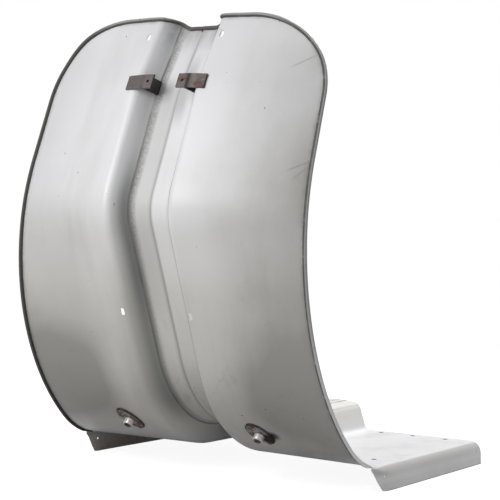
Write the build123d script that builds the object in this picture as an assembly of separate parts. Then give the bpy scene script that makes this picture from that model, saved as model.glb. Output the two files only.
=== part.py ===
from build123d import *
import math
import os

# Leg shield of a scooter, in millimetres: X to the rider's left and right, -Y towards the
# front wheel, +Z up. It is drawn from the middle plane and the lower front corners of the side
# lips, and written out from the middle of the rear row of floor bolts, which holds it. Two steel
# pressings, left and right, lap down the middle of the channel that takes the frame tube. The
# channel runs down the front face and on under the floor as a tunnel.

# Steel sheet and the lap down the middle
SHEET = 1.2
LAP_WIDTH = 14.0
LAP_GAP = 0.2

# Ridge beside the channel, seen from the side, from the rear end of the floor forwards and up
FLOOR_REAR_Y = 366.0
FLOOR_LEVEL = 37.5
RIDGE_FLOOR_LENGTH = 338.0
RIDGE_FOOT_RADIUS = 234.0
RIDGE_FOOT_TURN = 66.9
RIDGE_SHIN_LENGTH = 221.0
RIDGE_KNEE_RADIUS = 106.0
RIDGE_KNEE_TURN = 44.1
RIDGE_THIGH_LENGTH = 157.0
RIDGE_NECK_RADIUS = 142.0
RIDGE_NECK_TURN = 10.0
RIDGE_TOP_LENGTH = 105.0

# Outer edge of the wings, seen from the side, from the rear end of the floor forwards and up
EDGE_RISE = 1.5
EDGE_FLOOR_LENGTH = 365.0
EDGE_FOOT_RADIUS = 150.0
EDGE_FOOT_TURN = 41.0
EDGE_SHIN_RADIUS = 392.0
EDGE_SHIN_TURN = 68.0
EDGE_RAKE_LENGTH = 152.0
EDGE_NECK_RADIUS = 113.0
EDGE_NECK_TURN = -19.0
EDGE_TOP_LENGTH = 45.0

# Channel section, measured across the ridge line
SHOULDER_HALF_WIDTH = 56.0
CHANNEL_HALF_WIDTH = 39.0
CHANNEL_DEPTH = 36.0
TUNNEL_DEPTH = 48.5
CHANNEL_CORNER_RADIUS = 12.0
TUNNEL_CORNER_RADIUS = 17.0
TOP_CORNER_RADIUS = 24.0
SHOULDER_RADIUS = 12.0
TUNNEL_RUN_OUT = 440.0
TOP_DISH_LENGTH = 60.0

# Wing section: a soft bend near the ridge, then a straight sweep back to the outer edge
WING_BEND_X = 92.0
WING_BEND_SHARE = 0.6

# Outline of the wings, seen from the front
TOP_LEVEL = 724.4
TOP_CROWN_X = 108.0
NOTCH_HALF_WIDTH = 22.0
NOTCH_FLANK_X = 46.0
NOTCH_FLANK_LEVEL = 721.0
CHANNEL_TOP_LEVEL = 713.0
TOP_RADIUS = 175.0
TOP_TURN = 27.0
CORNER_RADIUS = 129.0
SIDE_FLARE = 2.0

# Rolled bead round the outline
BEAD_RADIUS = 3.4
BEAD_BEHIND = 1.2
BEAD_AHEAD = 2.0 * BEAD_RADIUS - SHEET - BEAD_BEHIND

# Lip down the outer edge of the floor
LIP_OUTSET = 7.7
LIP_FRONT_OUTSET = 1.7
LIP_DEPTH = 38.0
LIP_DRAFT = 3.0
LIP_RADIUS = 20.0
LIP_FRONT_RADIUS = 4.0
LIP_FRONT_Y = -29.0
LIP_FRONT_SLANT = 41.0
LIP_CORNER_RADIUS = 15.0
LIP_CUT_REACH = 23.0
LIP_START_LEVEL = 0.0

# Holes
SLOT_LENGTH = 12.0
SLOT_WIDTH = 6.5
UPPER_SLOT_X = 68.2
UPPER_SLOT_STATION = 1167.0
LOWER_SLOT_X = 63.0
LOWER_SLOT_STATION = 704.0
FLOOR_HOLE = 8.0
FLOOR_ROW_Y = 345.0
FLOOR_ROW_X = 98.0
FLOOR_ROW_PITCH = 63.0
FLOOR_ROW_COUNT = 3
FLOOR_FRONT_HOLE = (236.5, 51.5)
LIP_HOLE = 4.0
LIP_HOLE_LEVEL = 24.0
LIP_HOLE_REAR_Y = 342.0
LIP_HOLE_FRONT_Y = 4.0

# Upper brackets: a cranked strap across the shoulder and a leaning web to the channel's corner
STRAP_STATION = 1079.0
STRAP_HEIGHT = 23.5
STRAP_THICKNESS = 3.0
STRAP_INNER_X = 23.0
STRAP_BEND_X = 45.0
STRAP_OUTER_X = 72.0
STRAP_HOLE_X = 32.0
STRAP_HOLE = 5.0
WEB_X = 36.0
WEB_RISE = 9.0
WELD_GAP = 0.2

# Lower fixings: an oval flange with a stub tube, a plated sleeve over the stub, two rivets
FIXING_X = 124.0
FIXING_STATION = 489.0
FLANGE_LENGTH = 56.0
FLANGE_WIDTH = 36.0
FLANGE_THICKNESS = 3.0
FLANGE_TILT = 26.0
FLANGE_SPANS = 4
STUB_DIAMETER = 12.5
STUB_BORE = 6.0
STUB_LENGTH = 11.0
SLEEVE_DIAMETER = 16.5
SLEEVE_LENGTH = 9.5
SLEEVE_CLEARANCE = 0.25
SLEEVE_CHAMFER = 1.0
RIVET_PITCH = 43.0
RIVET_SHANK = 5.0
RIVET_HEAD = 9.0
RIVET_HEAD_HEIGHT = 2.4
RIVET_CLEARANCE = 0.35

# Stations of the lofted sections, as lengths along the ridge
LIP_START = 398.0
FLOOR_SPANS = 6
WING_SPANS = 18
WING_OVERRUN = 24.0
WING_STRAIGHT_X = 250.0
TRIM_SPARE = 10.0


def run(length):
    """A straight run of a side profile, as its length and its turn."""
    return length, 0.0


def bend(radius, turn):
    """An arc of a side profile, as its length and its turn in degrees."""
    return radius * math.radians(abs(turn)), turn


class Profile:
    """Straight runs and tangent arcs in the Y, Z plane, followed by length."""

    def __init__(self, start, runs):
        self.spans = []
        y, z = start
        heading = 0.0
        done = 0.0
        for length, turn in runs:
            self.spans.append((done, length, y, z, heading, math.radians(turn)))
            y, z, heading = self.along(self.spans[-1], length)
            done += length
        self.length = done

    @staticmethod
    def along(span, distance):
        """Point and heading at a distance into one span."""
        _, length, y, z, heading, turn = span
        if turn == 0.0:
            return y - distance * math.cos(heading), z + distance * math.sin(heading), heading
        bent = heading + turn * distance / length
        radius = length / turn
        return (
            y - radius * (math.sin(bent) - math.sin(heading)),
            z + radius * (math.cos(heading) - math.cos(bent)),
            bent,
        )

    def at(self, length):
        """Point and heading at a length from the start; the last span runs on past its end."""
        span = self.spans[0]
        for candidate in self.spans:
            if candidate[0] <= length:
                span = candidate
        return self.along(span, length - span[0])


RIDGE = Profile(
    (FLOOR_REAR_Y, FLOOR_LEVEL),
    (
        run(RIDGE_FLOOR_LENGTH),
        bend(RIDGE_FOOT_RADIUS, RIDGE_FOOT_TURN),
        run(RIDGE_SHIN_LENGTH),
        bend(RIDGE_KNEE_RADIUS, RIDGE_KNEE_TURN),
        run(RIDGE_THIGH_LENGTH),
        bend(RIDGE_NECK_RADIUS, RIDGE_NECK_TURN),
        run(RIDGE_TOP_LENGTH),
    ),
)
EDGE = Profile(
    (FLOOR_REAR_Y, FLOOR_LEVEL + EDGE_RISE),
    (
        run(EDGE_FLOOR_LENGTH),
        bend(EDGE_FOOT_RADIUS, EDGE_FOOT_TURN),
        bend(EDGE_SHIN_RADIUS, EDGE_SHIN_TURN),
        run(EDGE_RAKE_LENGTH),
        bend(EDGE_NECK_RADIUS, EDGE_NECK_TURN),
        run(EDGE_TOP_LENGTH),
    ),
)


def ease(value, low, high):
    """0 below low, 1 above high, and a smooth step between."""
    share = min(max((value - low) / (high - low), 0.0), 1.0)
    return share * share * (3.0 - 2.0 * share)


class Station:
    """The plane across the ridge at one length, with X across and N into the channel."""

    def __init__(self, length):
        self.length = length
        self.y, self.z, self.heading = RIDGE.at(length)
        self.n_y = math.sin(self.heading)
        self.n_z = math.cos(self.heading)

    def place(self, x, n):
        """Point of space at x across and n into the channel."""
        return Vector(x, self.y + n * self.n_y, self.z + n * self.n_z)

    def edge_drop(self):
        """How far the outer edge lies behind the ridge, found by halving along the edge."""
        low = self.length - 150.0
        high = self.length + 150.0
        for _ in range(50):
            middle = (low + high) / 2.0
            y, z, _ = EDGE.at(middle)
            ahead = (z - self.z) * self.n_y - (y - self.y) * self.n_z
            if ahead > 0.0:
                high = middle
            else:
                low = middle
        y, z, _ = EDGE.at(low)
        return (y - self.y) * self.n_y + (z - self.z) * self.n_z

    def depth(self):
        """Depth of the channel, which grows along the tunnel to the rear."""
        share = ease(self.length, 0.0, TUNNEL_RUN_OUT)
        return TUNNEL_DEPTH + (CHANNEL_DEPTH - TUNNEL_DEPTH) * share

    def corner_radius(self):
        """Inner radius of the channel's corners, larger in the tunnel and in the top dish."""
        tunnel = 1.0 - ease(self.length, 0.0, TUNNEL_RUN_OUT)
        dish = ease(self.length, RIDGE.length - TOP_DISH_LENGTH, RIDGE.length)
        return (
            CHANNEL_CORNER_RADIUS
            + (TUNNEL_CORNER_RADIUS - CHANNEL_CORNER_RADIUS) * tunnel
            + (TOP_CORNER_RADIUS - CHANNEL_CORNER_RADIUS) * dish
        )


def side_x(level):
    """Half width of the outline's side line at a level."""
    corner = math.radians(90.0 - SIDE_FLARE)
    top = math.radians(TOP_TURN)
    x = TOP_CROWN_X + TOP_RADIUS * math.sin(top)
    x += CORNER_RADIUS * (math.sin(corner) - math.sin(top))
    z = TOP_LEVEL - TOP_RADIUS * (1.0 - math.cos(top))
    z -= CORNER_RADIUS * (math.cos(top) - math.cos(corner))
    return x + (z - level) * math.tan(math.radians(SIDE_FLARE))


LIP_X = side_x(FLOOR_LEVEL) + LIP_OUTSET
LIP_FRONT_X = side_x(FLOOR_LEVEL) + LIP_FRONT_OUTSET


def offset_corners(points, distance):
    """Corners of a line run parallel to a run of corners, on its left."""
    shifted = []
    for (x0, n0), (x1, n1) in zip(points, points[1:]):
        size = math.hypot(x1 - x0, n1 - n0)
        dx, dn = (x1 - x0) / size, (n1 - n0) / size
        shifted.append((x0 - dn * distance, n0 + dx * distance, dx, dn))
    corners = [shifted[0][:2]]
    for (x0, n0, dx0, dn0), (x1, n1, dx1, dn1) in zip(shifted, shifted[1:]):
        cross = dx0 * dn1 - dn0 * dx1
        if abs(cross) < 1e-9:
            corners.append((x1, n1))
            continue
        reach = ((x1 - x0) * dn1 - (n1 - n0) * dx1) / cross
        corners.append((x0 + dx0 * reach, n0 + dn0 * reach))
    size = math.hypot(points[-1][0] - points[-2][0], points[-1][1] - points[-2][1])
    dx = (points[-1][0] - points[-2][0]) / size
    dn = (points[-1][1] - points[-2][1]) / size
    corners.append((points[-1][0] - dn * distance, points[-1][1] + dx * distance))
    return corners


def rounding(before, corner, after, radius):
    """Start, middle, end and centre of the arc that rounds one corner."""
    ax, an = before[0] - corner[0], before[1] - corner[1]
    bx, bn = after[0] - corner[0], after[1] - corner[1]
    a_size, b_size = math.hypot(ax, an), math.hypot(bx, bn)
    ax, an, bx, bn = ax / a_size, an / a_size, bx / b_size, bn / b_size
    half = math.acos(max(-1.0, min(1.0, ax * bx + an * bn))) / 2.0
    reach = radius / math.tan(half)
    start = (corner[0] + ax * reach, corner[1] + an * reach)
    end = (corner[0] + bx * reach, corner[1] + bn * reach)
    mx, mn = ax + bx, an + bn
    m_size = math.hypot(mx, mn)
    far = radius / math.sin(half)
    gap = far - radius
    middle = (corner[0] + mx / m_size * gap, corner[1] + mn / m_size * gap)
    centre = (corner[0] + mx / m_size * far, corner[1] + mn / m_size * far)
    return start, middle, end, centre


def sheet_corners(station, seam_x, extra_depth, outer_x):
    """Corners of the sheet's front face across one station, from the seam outwards."""
    depth = station.depth() + extra_depth
    drop = station.edge_drop()
    edge_x = side_x(station.z + drop * station.n_z)
    slope = WING_BEND_SHARE * drop / (edge_x - SHOULDER_HALF_WIDTH)
    bend_n = slope * (WING_BEND_X - SHOULDER_HALF_WIDTH)
    wing = (drop - bend_n) / (edge_x - WING_BEND_X)
    return [
        (seam_x, depth),
        (CHANNEL_HALF_WIDTH, depth),
        (SHOULDER_HALF_WIDTH, 0.0),
        (WING_BEND_X, bend_n),
        (outer_x, bend_n + wing * (outer_x - WING_BEND_X)),
    ]


def share_point(start, end, x):
    """Point of a straight line at x."""
    share = (x - start[0]) / (end[0] - start[0])
    return x, start[1] + (end[1] - start[1]) * share


def face_edges(station, corners, corner_radius, shoulder_radius, lip_radius):
    """Edges of one face of the sheet across a station, from the seam outwards."""
    put = station.place
    a1, m1, b1, _ = rounding(corners[0], corners[1], corners[2], corner_radius)
    a2, m2, b2, _ = rounding(corners[1], corners[2], corners[3], shoulder_radius)
    straight = share_point(corners[3], corners[4], WING_STRAIGHT_X)
    edges = [
        Line(put(*corners[0]), put(*a1)),
        ThreePointArc(put(*a1), put(*m1), put(*b1)),
        Line(put(*b1), put(*a2)),
        ThreePointArc(put(*a2), put(*m2), put(*b2)),
        Bezier(put(*b2), put(*corners[3]), put(*straight)),
    ]
    if lip_radius is None:
        edges.append(Line(put(*straight), put(*corners[4])))
        return edges
    a4, m4, b4, _ = rounding(corners[3], corners[4], corners[5], lip_radius)
    edges.append(Line(put(*straight), put(*a4)))
    edges.append(ThreePointArc(put(*a4), put(*m4), put(*b4)))
    edges.append(Line(put(*b4), put(*corners[5])))
    return edges


def front_depth(station, extra_depth, x):
    """Depth of the sheet's front face at x across one station."""
    outer_x = side_x(station.z) + TRIM_SPARE
    corners = sheet_corners(station, 0.0, extra_depth, outer_x)
    radius = station.corner_radius()
    a1, _, b1, c1 = rounding(corners[0], corners[1], corners[2], radius)
    a2, _, b2, c2 = rounding(corners[1], corners[2], corners[3], SHOULDER_RADIUS)
    if x <= a1[0]:
        return corners[0][1]
    if x <= b1[0]:
        return c1[1] + math.sqrt(max(radius**2 - (x - c1[0]) ** 2, 0.0))
    if x <= a2[0]:
        return share_point(b1, a2, x)[1]
    if x <= b2[0]:
        return c2[1] - math.sqrt(max(SHOULDER_RADIUS**2 - (x - c2[0]) ** 2, 0.0))
    straight = share_point(corners[3], corners[4], WING_STRAIGHT_X)
    if x >= WING_STRAIGHT_X:
        return share_point(corners[3], corners[4], x)[1]
    bow = b2[0] - 2.0 * WING_BEND_X + straight[0]
    reach = WING_BEND_X - b2[0]
    u = (math.sqrt(reach**2 + bow * (x - b2[0])) - reach) / bow
    return (1 - u) ** 2 * b2[1] + 2 * u * (1 - u) * corners[3][1] + u**2 * straight[1]


def section(length, seam_x, extra_depth, with_lip, ahead=0.0, behind=SHEET):
    """Closed section across one station, from ahead of the front face to behind it."""
    station = Station(length)
    lip_radius = None
    outer_lip_radius = None
    if with_lip:
        front = ease(length, RIDGE_FLOOR_LENGTH, LIP_START)
        lip_x = LIP_X + (LIP_FRONT_X - LIP_X) * front - SHEET
        lip_radius = LIP_RADIUS + (LIP_FRONT_RADIUS - LIP_RADIUS) * front
        outer_lip_radius = lip_radius + behind
        draft = math.tan(math.radians(LIP_DRAFT)) * LIP_DEPTH
        corners = sheet_corners(station, seam_x, extra_depth, lip_x - draft)
        corners.append((lip_x, corners[-1][1] - LIP_DEPTH))
    else:
        outer_x = side_x(station.z) + TRIM_SPARE
        corners = sheet_corners(station, seam_x, extra_depth, outer_x)
    radius = station.corner_radius()
    inner = face_edges(
        station,
        offset_corners(corners, -ahead),
        radius - ahead,
        SHOULDER_RADIUS + ahead,
        lip_radius,
    )
    outer = face_edges(
        station,
        offset_corners(corners, behind),
        radius + behind,
        SHOULDER_RADIUS - behind,
        outer_lip_radius,
    )
    far_end = Line(inner[-1] @ 1, outer[-1] @ 1)
    near_end = Line(outer[0] @ 0, inner[0] @ 0)
    return Wire(inner + [far_end] + outer[::-1] + [near_end])


def loft_sections(start, end, spans, make_section):
    """Solid lofted through evenly spaced sections."""
    lengths = [start + (end - start) * step / spans for step in range(spans + 1)]
    return Solid.make_loft([make_section(length) for length in lengths])


def outline(inset):
    """Half outline seen from the front, in X and Z, from the middle plane round to the floor."""
    top = TOP_LEVEL - inset
    notch = CHANNEL_TOP_LEVEL - inset
    top_centre = (TOP_CROWN_X, TOP_LEVEL - TOP_RADIUS)
    turn = math.radians(TOP_TURN)
    lean = math.radians(90.0 - SIDE_FLARE)
    sink = TOP_RADIUS - CORNER_RADIUS
    corner_centre = (
        top_centre[0] + sink * math.sin(turn),
        top_centre[1] + sink * math.cos(turn),
    )
    arcs = []
    for centre, radius, angles in (
        (top_centre, TOP_RADIUS - inset, (0.0, turn / 2, turn)),
        (corner_centre, CORNER_RADIUS - inset, (turn, (turn + lean) / 2, lean)),
    ):
        points = [
            (centre[0] + radius * math.sin(angle), centre[1] + radius * math.cos(angle))
            for angle in angles
        ]
        arcs.append(points)
    low = 20.0
    x_end, z_end = arcs[1][2]
    x_low = x_end + (z_end - low) * math.tan(math.radians(SIDE_FLARE))
    flank = Spline(
        (NOTCH_HALF_WIDTH, notch),
        (NOTCH_FLANK_X, NOTCH_FLANK_LEVEL - inset),
        (TOP_CROWN_X, top),
        tangents=((1.0, 0.0), (1.0, 0.0)),
    )
    return [
        Line((0.0, notch), (NOTCH_HALF_WIDTH, notch)),
        flank,
        ThreePointArc(*arcs[0]),
        ThreePointArc(*arcs[1]),
        Line((x_end, z_end), (x_low, low)),
    ]


def trim_prism():
    """Solid inside the outline, less the bead's radius, with the lap cut short below the bead."""
    edges = outline(BEAD_RADIUS)
    lap_top = CHANNEL_TOP_LEVEL - 3.0 * BEAD_RADIUS
    lap_x = -2.0 * LAP_WIDTH
    low = (edges[-1] @ 1).Y
    middle = edges[0] @ 0
    edges.append(
        Polyline(
            edges[-1] @ 1,
            (lap_x, low),
            (lap_x, lap_top),
            (middle.X, lap_top),
            middle,
        )
    )
    face = Plane.XZ * make_face(edges)
    return extrude(face, 500.0, both=True)


def rim_ring():
    """Prism between the outline and the inner side of the bead."""
    outer = outline(0.0)
    inner = outline(2.0 * BEAD_RADIUS)
    edges = outer + inner
    edges.append(Line(outer[0] @ 0, inner[0] @ 0))
    edges.append(Line(outer[-1] @ 1, inner[-1] @ 1))
    return extrude(Plane.XZ * make_face(edges), 500.0, both=True)


def lip_front_cut():
    """Solid that slants off the front end of the lip, with a rounded lower corner."""
    run_out = 80.0
    foot_y = LIP_FRONT_Y + (FLOOR_LEVEL - 1.0) * math.tan(math.radians(LIP_FRONT_SLANT))
    corner = (foot_y, LIP_START_LEVEL)
    slant = Vector(LIP_FRONT_Y - foot_y, FLOOR_LEVEL - 1.0 - LIP_START_LEVEL).normalized()
    level = Vector(1.0, 0.0)
    reach = LIP_CORNER_RADIUS * math.tan(math.radians((90.0 - LIP_FRONT_SLANT) / 2.0))
    on_slant = Vector(*corner) + slant * reach
    on_level = Vector(*corner) + level * reach
    edges = [
        Line((LIP_FRONT_Y, FLOOR_LEVEL - 1.0), on_slant),
        TangentArc(on_slant, on_level, tangent=slant * -1.0),
        Polyline(
            on_level,
            (on_level.X, -run_out),
            (-run_out, -run_out),
            (-run_out, FLOOR_LEVEL - 1.0),
            (LIP_FRONT_Y, FLOOR_LEVEL - 1.0),
        ),
    ]
    face = Plane.YZ.offset(LIP_X - LIP_CUT_REACH) * make_face(edges)
    return extrude(face, 2.0 * LIP_CUT_REACH)


def slot_cut(station, x, extra_depth):
    """Slot through the wing, long along the ridge line."""
    depth = front_depth(station, extra_depth, x)
    along = Vector(0.0, -station.n_z, station.n_y)
    through = Vector(0.0, station.n_y, station.n_z)
    plane = Plane(station.place(x, depth), x_dir=along, z_dir=through)
    return extrude(plane * SlotOverall(SLOT_LENGTH, SLOT_WIDTH), 6.0 * SHEET, both=True)


def half_holes(extra_depth):
    """Every hole of one half that takes no other piece of this object."""
    cuts = [
        slot_cut(Station(UPPER_SLOT_STATION), UPPER_SLOT_X, extra_depth),
        slot_cut(Station(LOWER_SLOT_STATION), LOWER_SLOT_X, extra_depth),
    ]
    spots = [
        (FLOOR_ROW_X + FLOOR_ROW_PITCH * step, FLOOR_ROW_Y) for step in range(FLOOR_ROW_COUNT)
    ]
    spots.append(FLOOR_FRONT_HOLE)
    for x, y in spots:
        cuts.append(Pos(x, y, FLOOR_LEVEL) * Cylinder(FLOOR_HOLE / 2.0, LIP_DEPTH))
    for y in (LIP_HOLE_REAR_Y, LIP_HOLE_FRONT_Y):
        drill = Cylinder(LIP_HOLE / 2.0, LIP_RADIUS, rotation=(0.0, 90.0, 0.0))
        cuts.append(Pos(LIP_X, y, LIP_HOLE_LEVEL) * drill)
    return cuts


def pressing(seam_x, rim_seam_x, extra_depth):
    """One half of the panel, drawn on the +X side."""
    top = RIDGE.length + WING_OVERRUN
    wing = loft_sections(
        LIP_START, top, WING_SPANS, lambda s: section(s, seam_x, extra_depth, False)
    )
    floor = loft_sections(
        0.0, LIP_START, FLOOR_SPANS, lambda s: section(s, seam_x, extra_depth, True)
    )
    thick = loft_sections(
        LIP_START,
        top,
        WING_SPANS,
        lambda s: section(s, rim_seam_x, extra_depth, False, BEAD_AHEAD, SHEET + BEAD_BEHIND),
    )
    half = (wing & trim_prism()) + floor
    half = half + (thick & rim_ring())
    half = half - lip_front_cut()
    return half - half_holes(extra_depth)


class Fixing:
    """One lower fixing on the front face of the wing: flange, sleeve and rivets."""

    def __init__(self, x, extra_depth):
        self.x = x
        self.extra_depth = extra_depth
        self.station = Station(FIXING_STATION)
        tilt = math.radians(FLANGE_TILT)
        self.long_axis = (math.sin(tilt), -math.cos(tilt))

    def depth_at(self, reach):
        """Front face of the wing at a reach along the flange's long axis."""
        x = self.x + self.long_axis[0] * reach
        station = Station(FIXING_STATION + self.long_axis[1] * reach)
        return front_depth(station, self.extra_depth, abs(x))

    def plane(self, reach, lift):
        """Plane facing out of the wing at a reach along the long axis, lifted off the face."""
        x = self.x + self.long_axis[0] * reach
        station = Station(FIXING_STATION + self.long_axis[1] * reach)
        along = Vector(
            self.long_axis[0],
            -self.long_axis[1] * station.n_z,
            self.long_axis[1] * station.n_y,
        )
        origin = station.place(x, self.depth_at(reach) - lift)
        return Plane(origin, x_dir=along, z_dir=Vector(0.0, -station.n_y, -station.n_z))

    def drill(self, reach, radius):
        """Drill through flange and wing at a reach along the long axis."""
        return self.plane(reach, 0.0) * Cylinder(radius, 8.0 * FLANGE_THICKNESS)

    def rivet_drills(self):
        """Holes for both rivets, through flange and wing."""
        radius = RIVET_SHANK / 2.0 + RIVET_CLEARANCE
        return [self.drill(reach, radius) for reach in (-RIVET_PITCH / 2.0, RIVET_PITCH / 2.0)]

    def flange(self):
        """Oval plate bent to the foot of the wing, with its stub tube."""
        ahead = WELD_GAP + FLANGE_THICKNESS
        blank = loft_sections(
            FIXING_STATION - FLANGE_LENGTH,
            FIXING_STATION + FLANGE_LENGTH,
            FLANGE_SPANS,
            lambda s: section(s, 0.0, self.extra_depth, False, ahead, -WELD_GAP),
        )
        if self.x < 0.0:
            blank = mirror(blank, about=Plane.YZ)
        oval = Ellipse(FLANGE_LENGTH / 2.0, FLANGE_WIDTH / 2.0)
        plate = blank & extrude(self.plane(0.0, 0.0) * oval, FLANGE_WIDTH, both=True)
        bury = FLANGE_THICKNESS / 2.0
        stub = self.plane(0.0, WELD_GAP + bury) * Cylinder(
            STUB_DIAMETER / 2.0,
            STUB_LENGTH + bury,
            align=(Align.CENTER, Align.CENTER, Align.MIN),
        )
        body = plate + stub - self.plane(0.0, 0.0) * Cylinder(STUB_BORE / 2.0, 4.0 * STUB_LENGTH)
        return body - self.rivet_drills()

    def sleeve(self):
        """Plated sleeve over the stub tube, chamfered at its outer end."""
        tube = Cylinder(
            SLEEVE_DIAMETER / 2.0,
            SLEEVE_LENGTH,
            align=(Align.CENTER, Align.CENTER, Align.MIN),
        )
        tube = chamfer(tube.edges().sort_by(Axis.Z)[-1], SLEEVE_CHAMFER)
        tube = tube - Cylinder(STUB_DIAMETER / 2.0 + SLEEVE_CLEARANCE, 4.0 * SLEEVE_LENGTH)
        return self.plane(0.0, WELD_GAP + FLANGE_THICKNESS + 2.0 * SLEEVE_CLEARANCE) * tube

    def rivets(self):
        """Both rivets, domed on the flange and flat behind the wing."""
        front = WELD_GAP + FLANGE_THICKNESS + RIVET_CLEARANCE
        back = SHEET + RIVET_CLEARANCE
        low = (Align.CENTER, Align.CENTER, Align.MIN)
        shank = Pos(0.0, 0.0, -back) * Cylinder(RIVET_SHANK / 2.0, back + front, align=low)
        dome = Cylinder(RIVET_HEAD / 2.0, RIVET_HEAD_HEIGHT, align=low)
        dome = chamfer(dome.edges().sort_by(Axis.Z)[-1], 0.5 * RIVET_HEAD_HEIGHT)
        tail = Cylinder(RIVET_HEAD / 2.0, RIVET_HEAD_HEIGHT / 2.0, align=low)
        tail = Pos(0.0, 0.0, -back - RIVET_HEAD_HEIGHT / 2.0) * tail
        rivet = shank + Pos(0.0, 0.0, front) * dome + tail
        return [
            self.plane(reach, 0.0) * rivet for reach in (-RIVET_PITCH / 2.0, RIVET_PITCH / 2.0)
        ]


def upper_bracket(extra_depth):
    """Cranked strap on the shoulder with its web, drawn on the +X side."""
    station = Station(STRAP_STATION)
    put = station.place
    outer_n = front_depth(station, extra_depth, STRAP_OUTER_X) - WELD_GAP
    inner_x = SHOULDER_HALF_WIDTH + SHOULDER_RADIUS / 2.0
    inner_n = front_depth(station, extra_depth, inner_x) - WELD_GAP
    slope = (outer_n - inner_n) / (STRAP_OUTER_X - inner_x)
    bend_n = outer_n - slope * (STRAP_OUTER_X - STRAP_BEND_X)
    back = [(STRAP_INNER_X, bend_n), (STRAP_BEND_X, bend_n), (STRAP_OUTER_X, outer_n)]
    front = offset_corners(back, -STRAP_THICKNESS)
    strap = make_face(Polyline(*[put(*spot) for spot in back + front[::-1]], close=True))
    web_end = WEB_X + STRAP_THICKNESS
    deep = front_depth(station, extra_depth, web_end) - WELD_GAP
    along = Vector(0.0, -station.n_z, station.n_y)
    through = Vector(0.0, station.n_y, station.n_z)
    half = STRAP_HEIGHT / 2.0
    web = make_face(
        Polyline(
            put(WEB_X, bend_n) - along * half,
            put(WEB_X, bend_n) + along * half,
            put(WEB_X, deep) + along * (half + WEB_RISE),
            put(WEB_X, deep) - along * (half - WEB_RISE),
            close=True,
        )
    )
    body = extrude(strap, half, both=True) + extrude(web, STRAP_THICKNESS, dir=(1.0, 0.0, 0.0))
    drill = Plane(put(STRAP_HOLE_X, bend_n), z_dir=through)
    return body - drill * Cylinder(STRAP_HOLE / 2.0, 4.0 * STRAP_THICKNESS)


def main():
    """Build every piece and write it."""
    os.makedirs("parts", exist_ok=True)
    under = SHEET + LAP_GAP
    right_fixing = Fixing(FIXING_X, 0.0)
    left_fixing = Fixing(-FIXING_X, under)
    right = pressing(0.0, 0.0, 0.0)
    left = mirror(pressing(-LAP_WIDTH, LAP_GAP, under), about=Plane.YZ)
    pieces = {
        "right_half": right - right_fixing.rivet_drills(),
        "left_half": left - left_fixing.rivet_drills(),
        "right_upper_bracket": upper_bracket(0.0),
        "left_upper_bracket": mirror(upper_bracket(under), about=Plane.YZ),
        "right_lower_flange": right_fixing.flange(),
        "left_lower_flange": left_fixing.flange(),
        "right_lower_sleeve": right_fixing.sleeve(),
        "left_lower_sleeve": left_fixing.sleeve(),
        "flange_rivets": Compound(right_fixing.rivets() + left_fixing.rivets()),
    }
    to_bolt_row = Pos(0.0, -FLOOR_ROW_Y, -FLOOR_LEVEL - SHEET / 2.0)
    for name, piece in pieces.items():
        export_step(to_bolt_row * piece, f"parts/{name}.step")


if __name__ == "__main__":
    main()
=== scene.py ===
import logging
import math
from collections.abc import Callable, Iterable, Mapping, Sequence
from dataclasses import dataclass, field
from enum import Enum
from functools import cached_property

import bmesh
import bpy
import numpy as np
from mathutils import Matrix, Vector


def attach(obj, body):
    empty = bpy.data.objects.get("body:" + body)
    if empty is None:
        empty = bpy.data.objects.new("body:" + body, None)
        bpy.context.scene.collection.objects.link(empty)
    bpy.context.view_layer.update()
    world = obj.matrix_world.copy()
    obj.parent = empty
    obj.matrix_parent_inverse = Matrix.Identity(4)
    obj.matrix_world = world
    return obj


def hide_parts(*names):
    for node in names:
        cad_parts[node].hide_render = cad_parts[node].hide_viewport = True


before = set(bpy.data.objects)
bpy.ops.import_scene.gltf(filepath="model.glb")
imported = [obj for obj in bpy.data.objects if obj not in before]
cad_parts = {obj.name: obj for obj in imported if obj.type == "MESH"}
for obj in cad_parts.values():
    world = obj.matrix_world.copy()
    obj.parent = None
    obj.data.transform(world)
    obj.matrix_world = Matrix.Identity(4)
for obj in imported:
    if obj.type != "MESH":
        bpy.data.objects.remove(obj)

# Sizes are in millimetres in the drawing's own frame: X across the shield, -Y to the front of the
# scooter, +Z up, from the lower front corners of the side lips. to_row turns them into metres from
# the middle of the rear row of floor bolts.

MM = 0.001
HUB = 0.02  # radius where a turned form closes on its axis
TINY = 1e-12
MERGE = 2e-6  # metres below which two vertices become one
FLAT = 1e-7  # metres below which an edge has no length
HALVINGS = 44
TURN = 2.0 * math.pi
ACROSS = np.array((1.0, 0.0, 0.0))
UPWARD = np.array((0.0, 0.0, 1.0))
BODY = "root"
log = logging.getLogger("leg_shield")

Array = np.ndarray
Pair = tuple[float, float]
Place = tuple[float, float, float]
Colour = tuple[float, float, float]
Span = tuple[float, float, float, float]  # start, full, full and end of a patch


class Side(Enum):
    """Which half of the shield, by the sign of X."""

    RIGHT = 1.0
    LEFT = -1.0

    @property
    def word(self) -> str:
        """The half's name in lower case."""
        return self.name.lower()

    @property
    def extra(self) -> float:
        """How much deeper this half's channel lies: the left half is behind the lap."""
        return self.pick((0.0, FORM.sheet + FORM.lap_gap))

    def pick(self, pair: Pair) -> float:
        """The first of a pair on the right, the second on the left."""
        return pair[0] if self is Side.RIGHT else pair[1]


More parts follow.
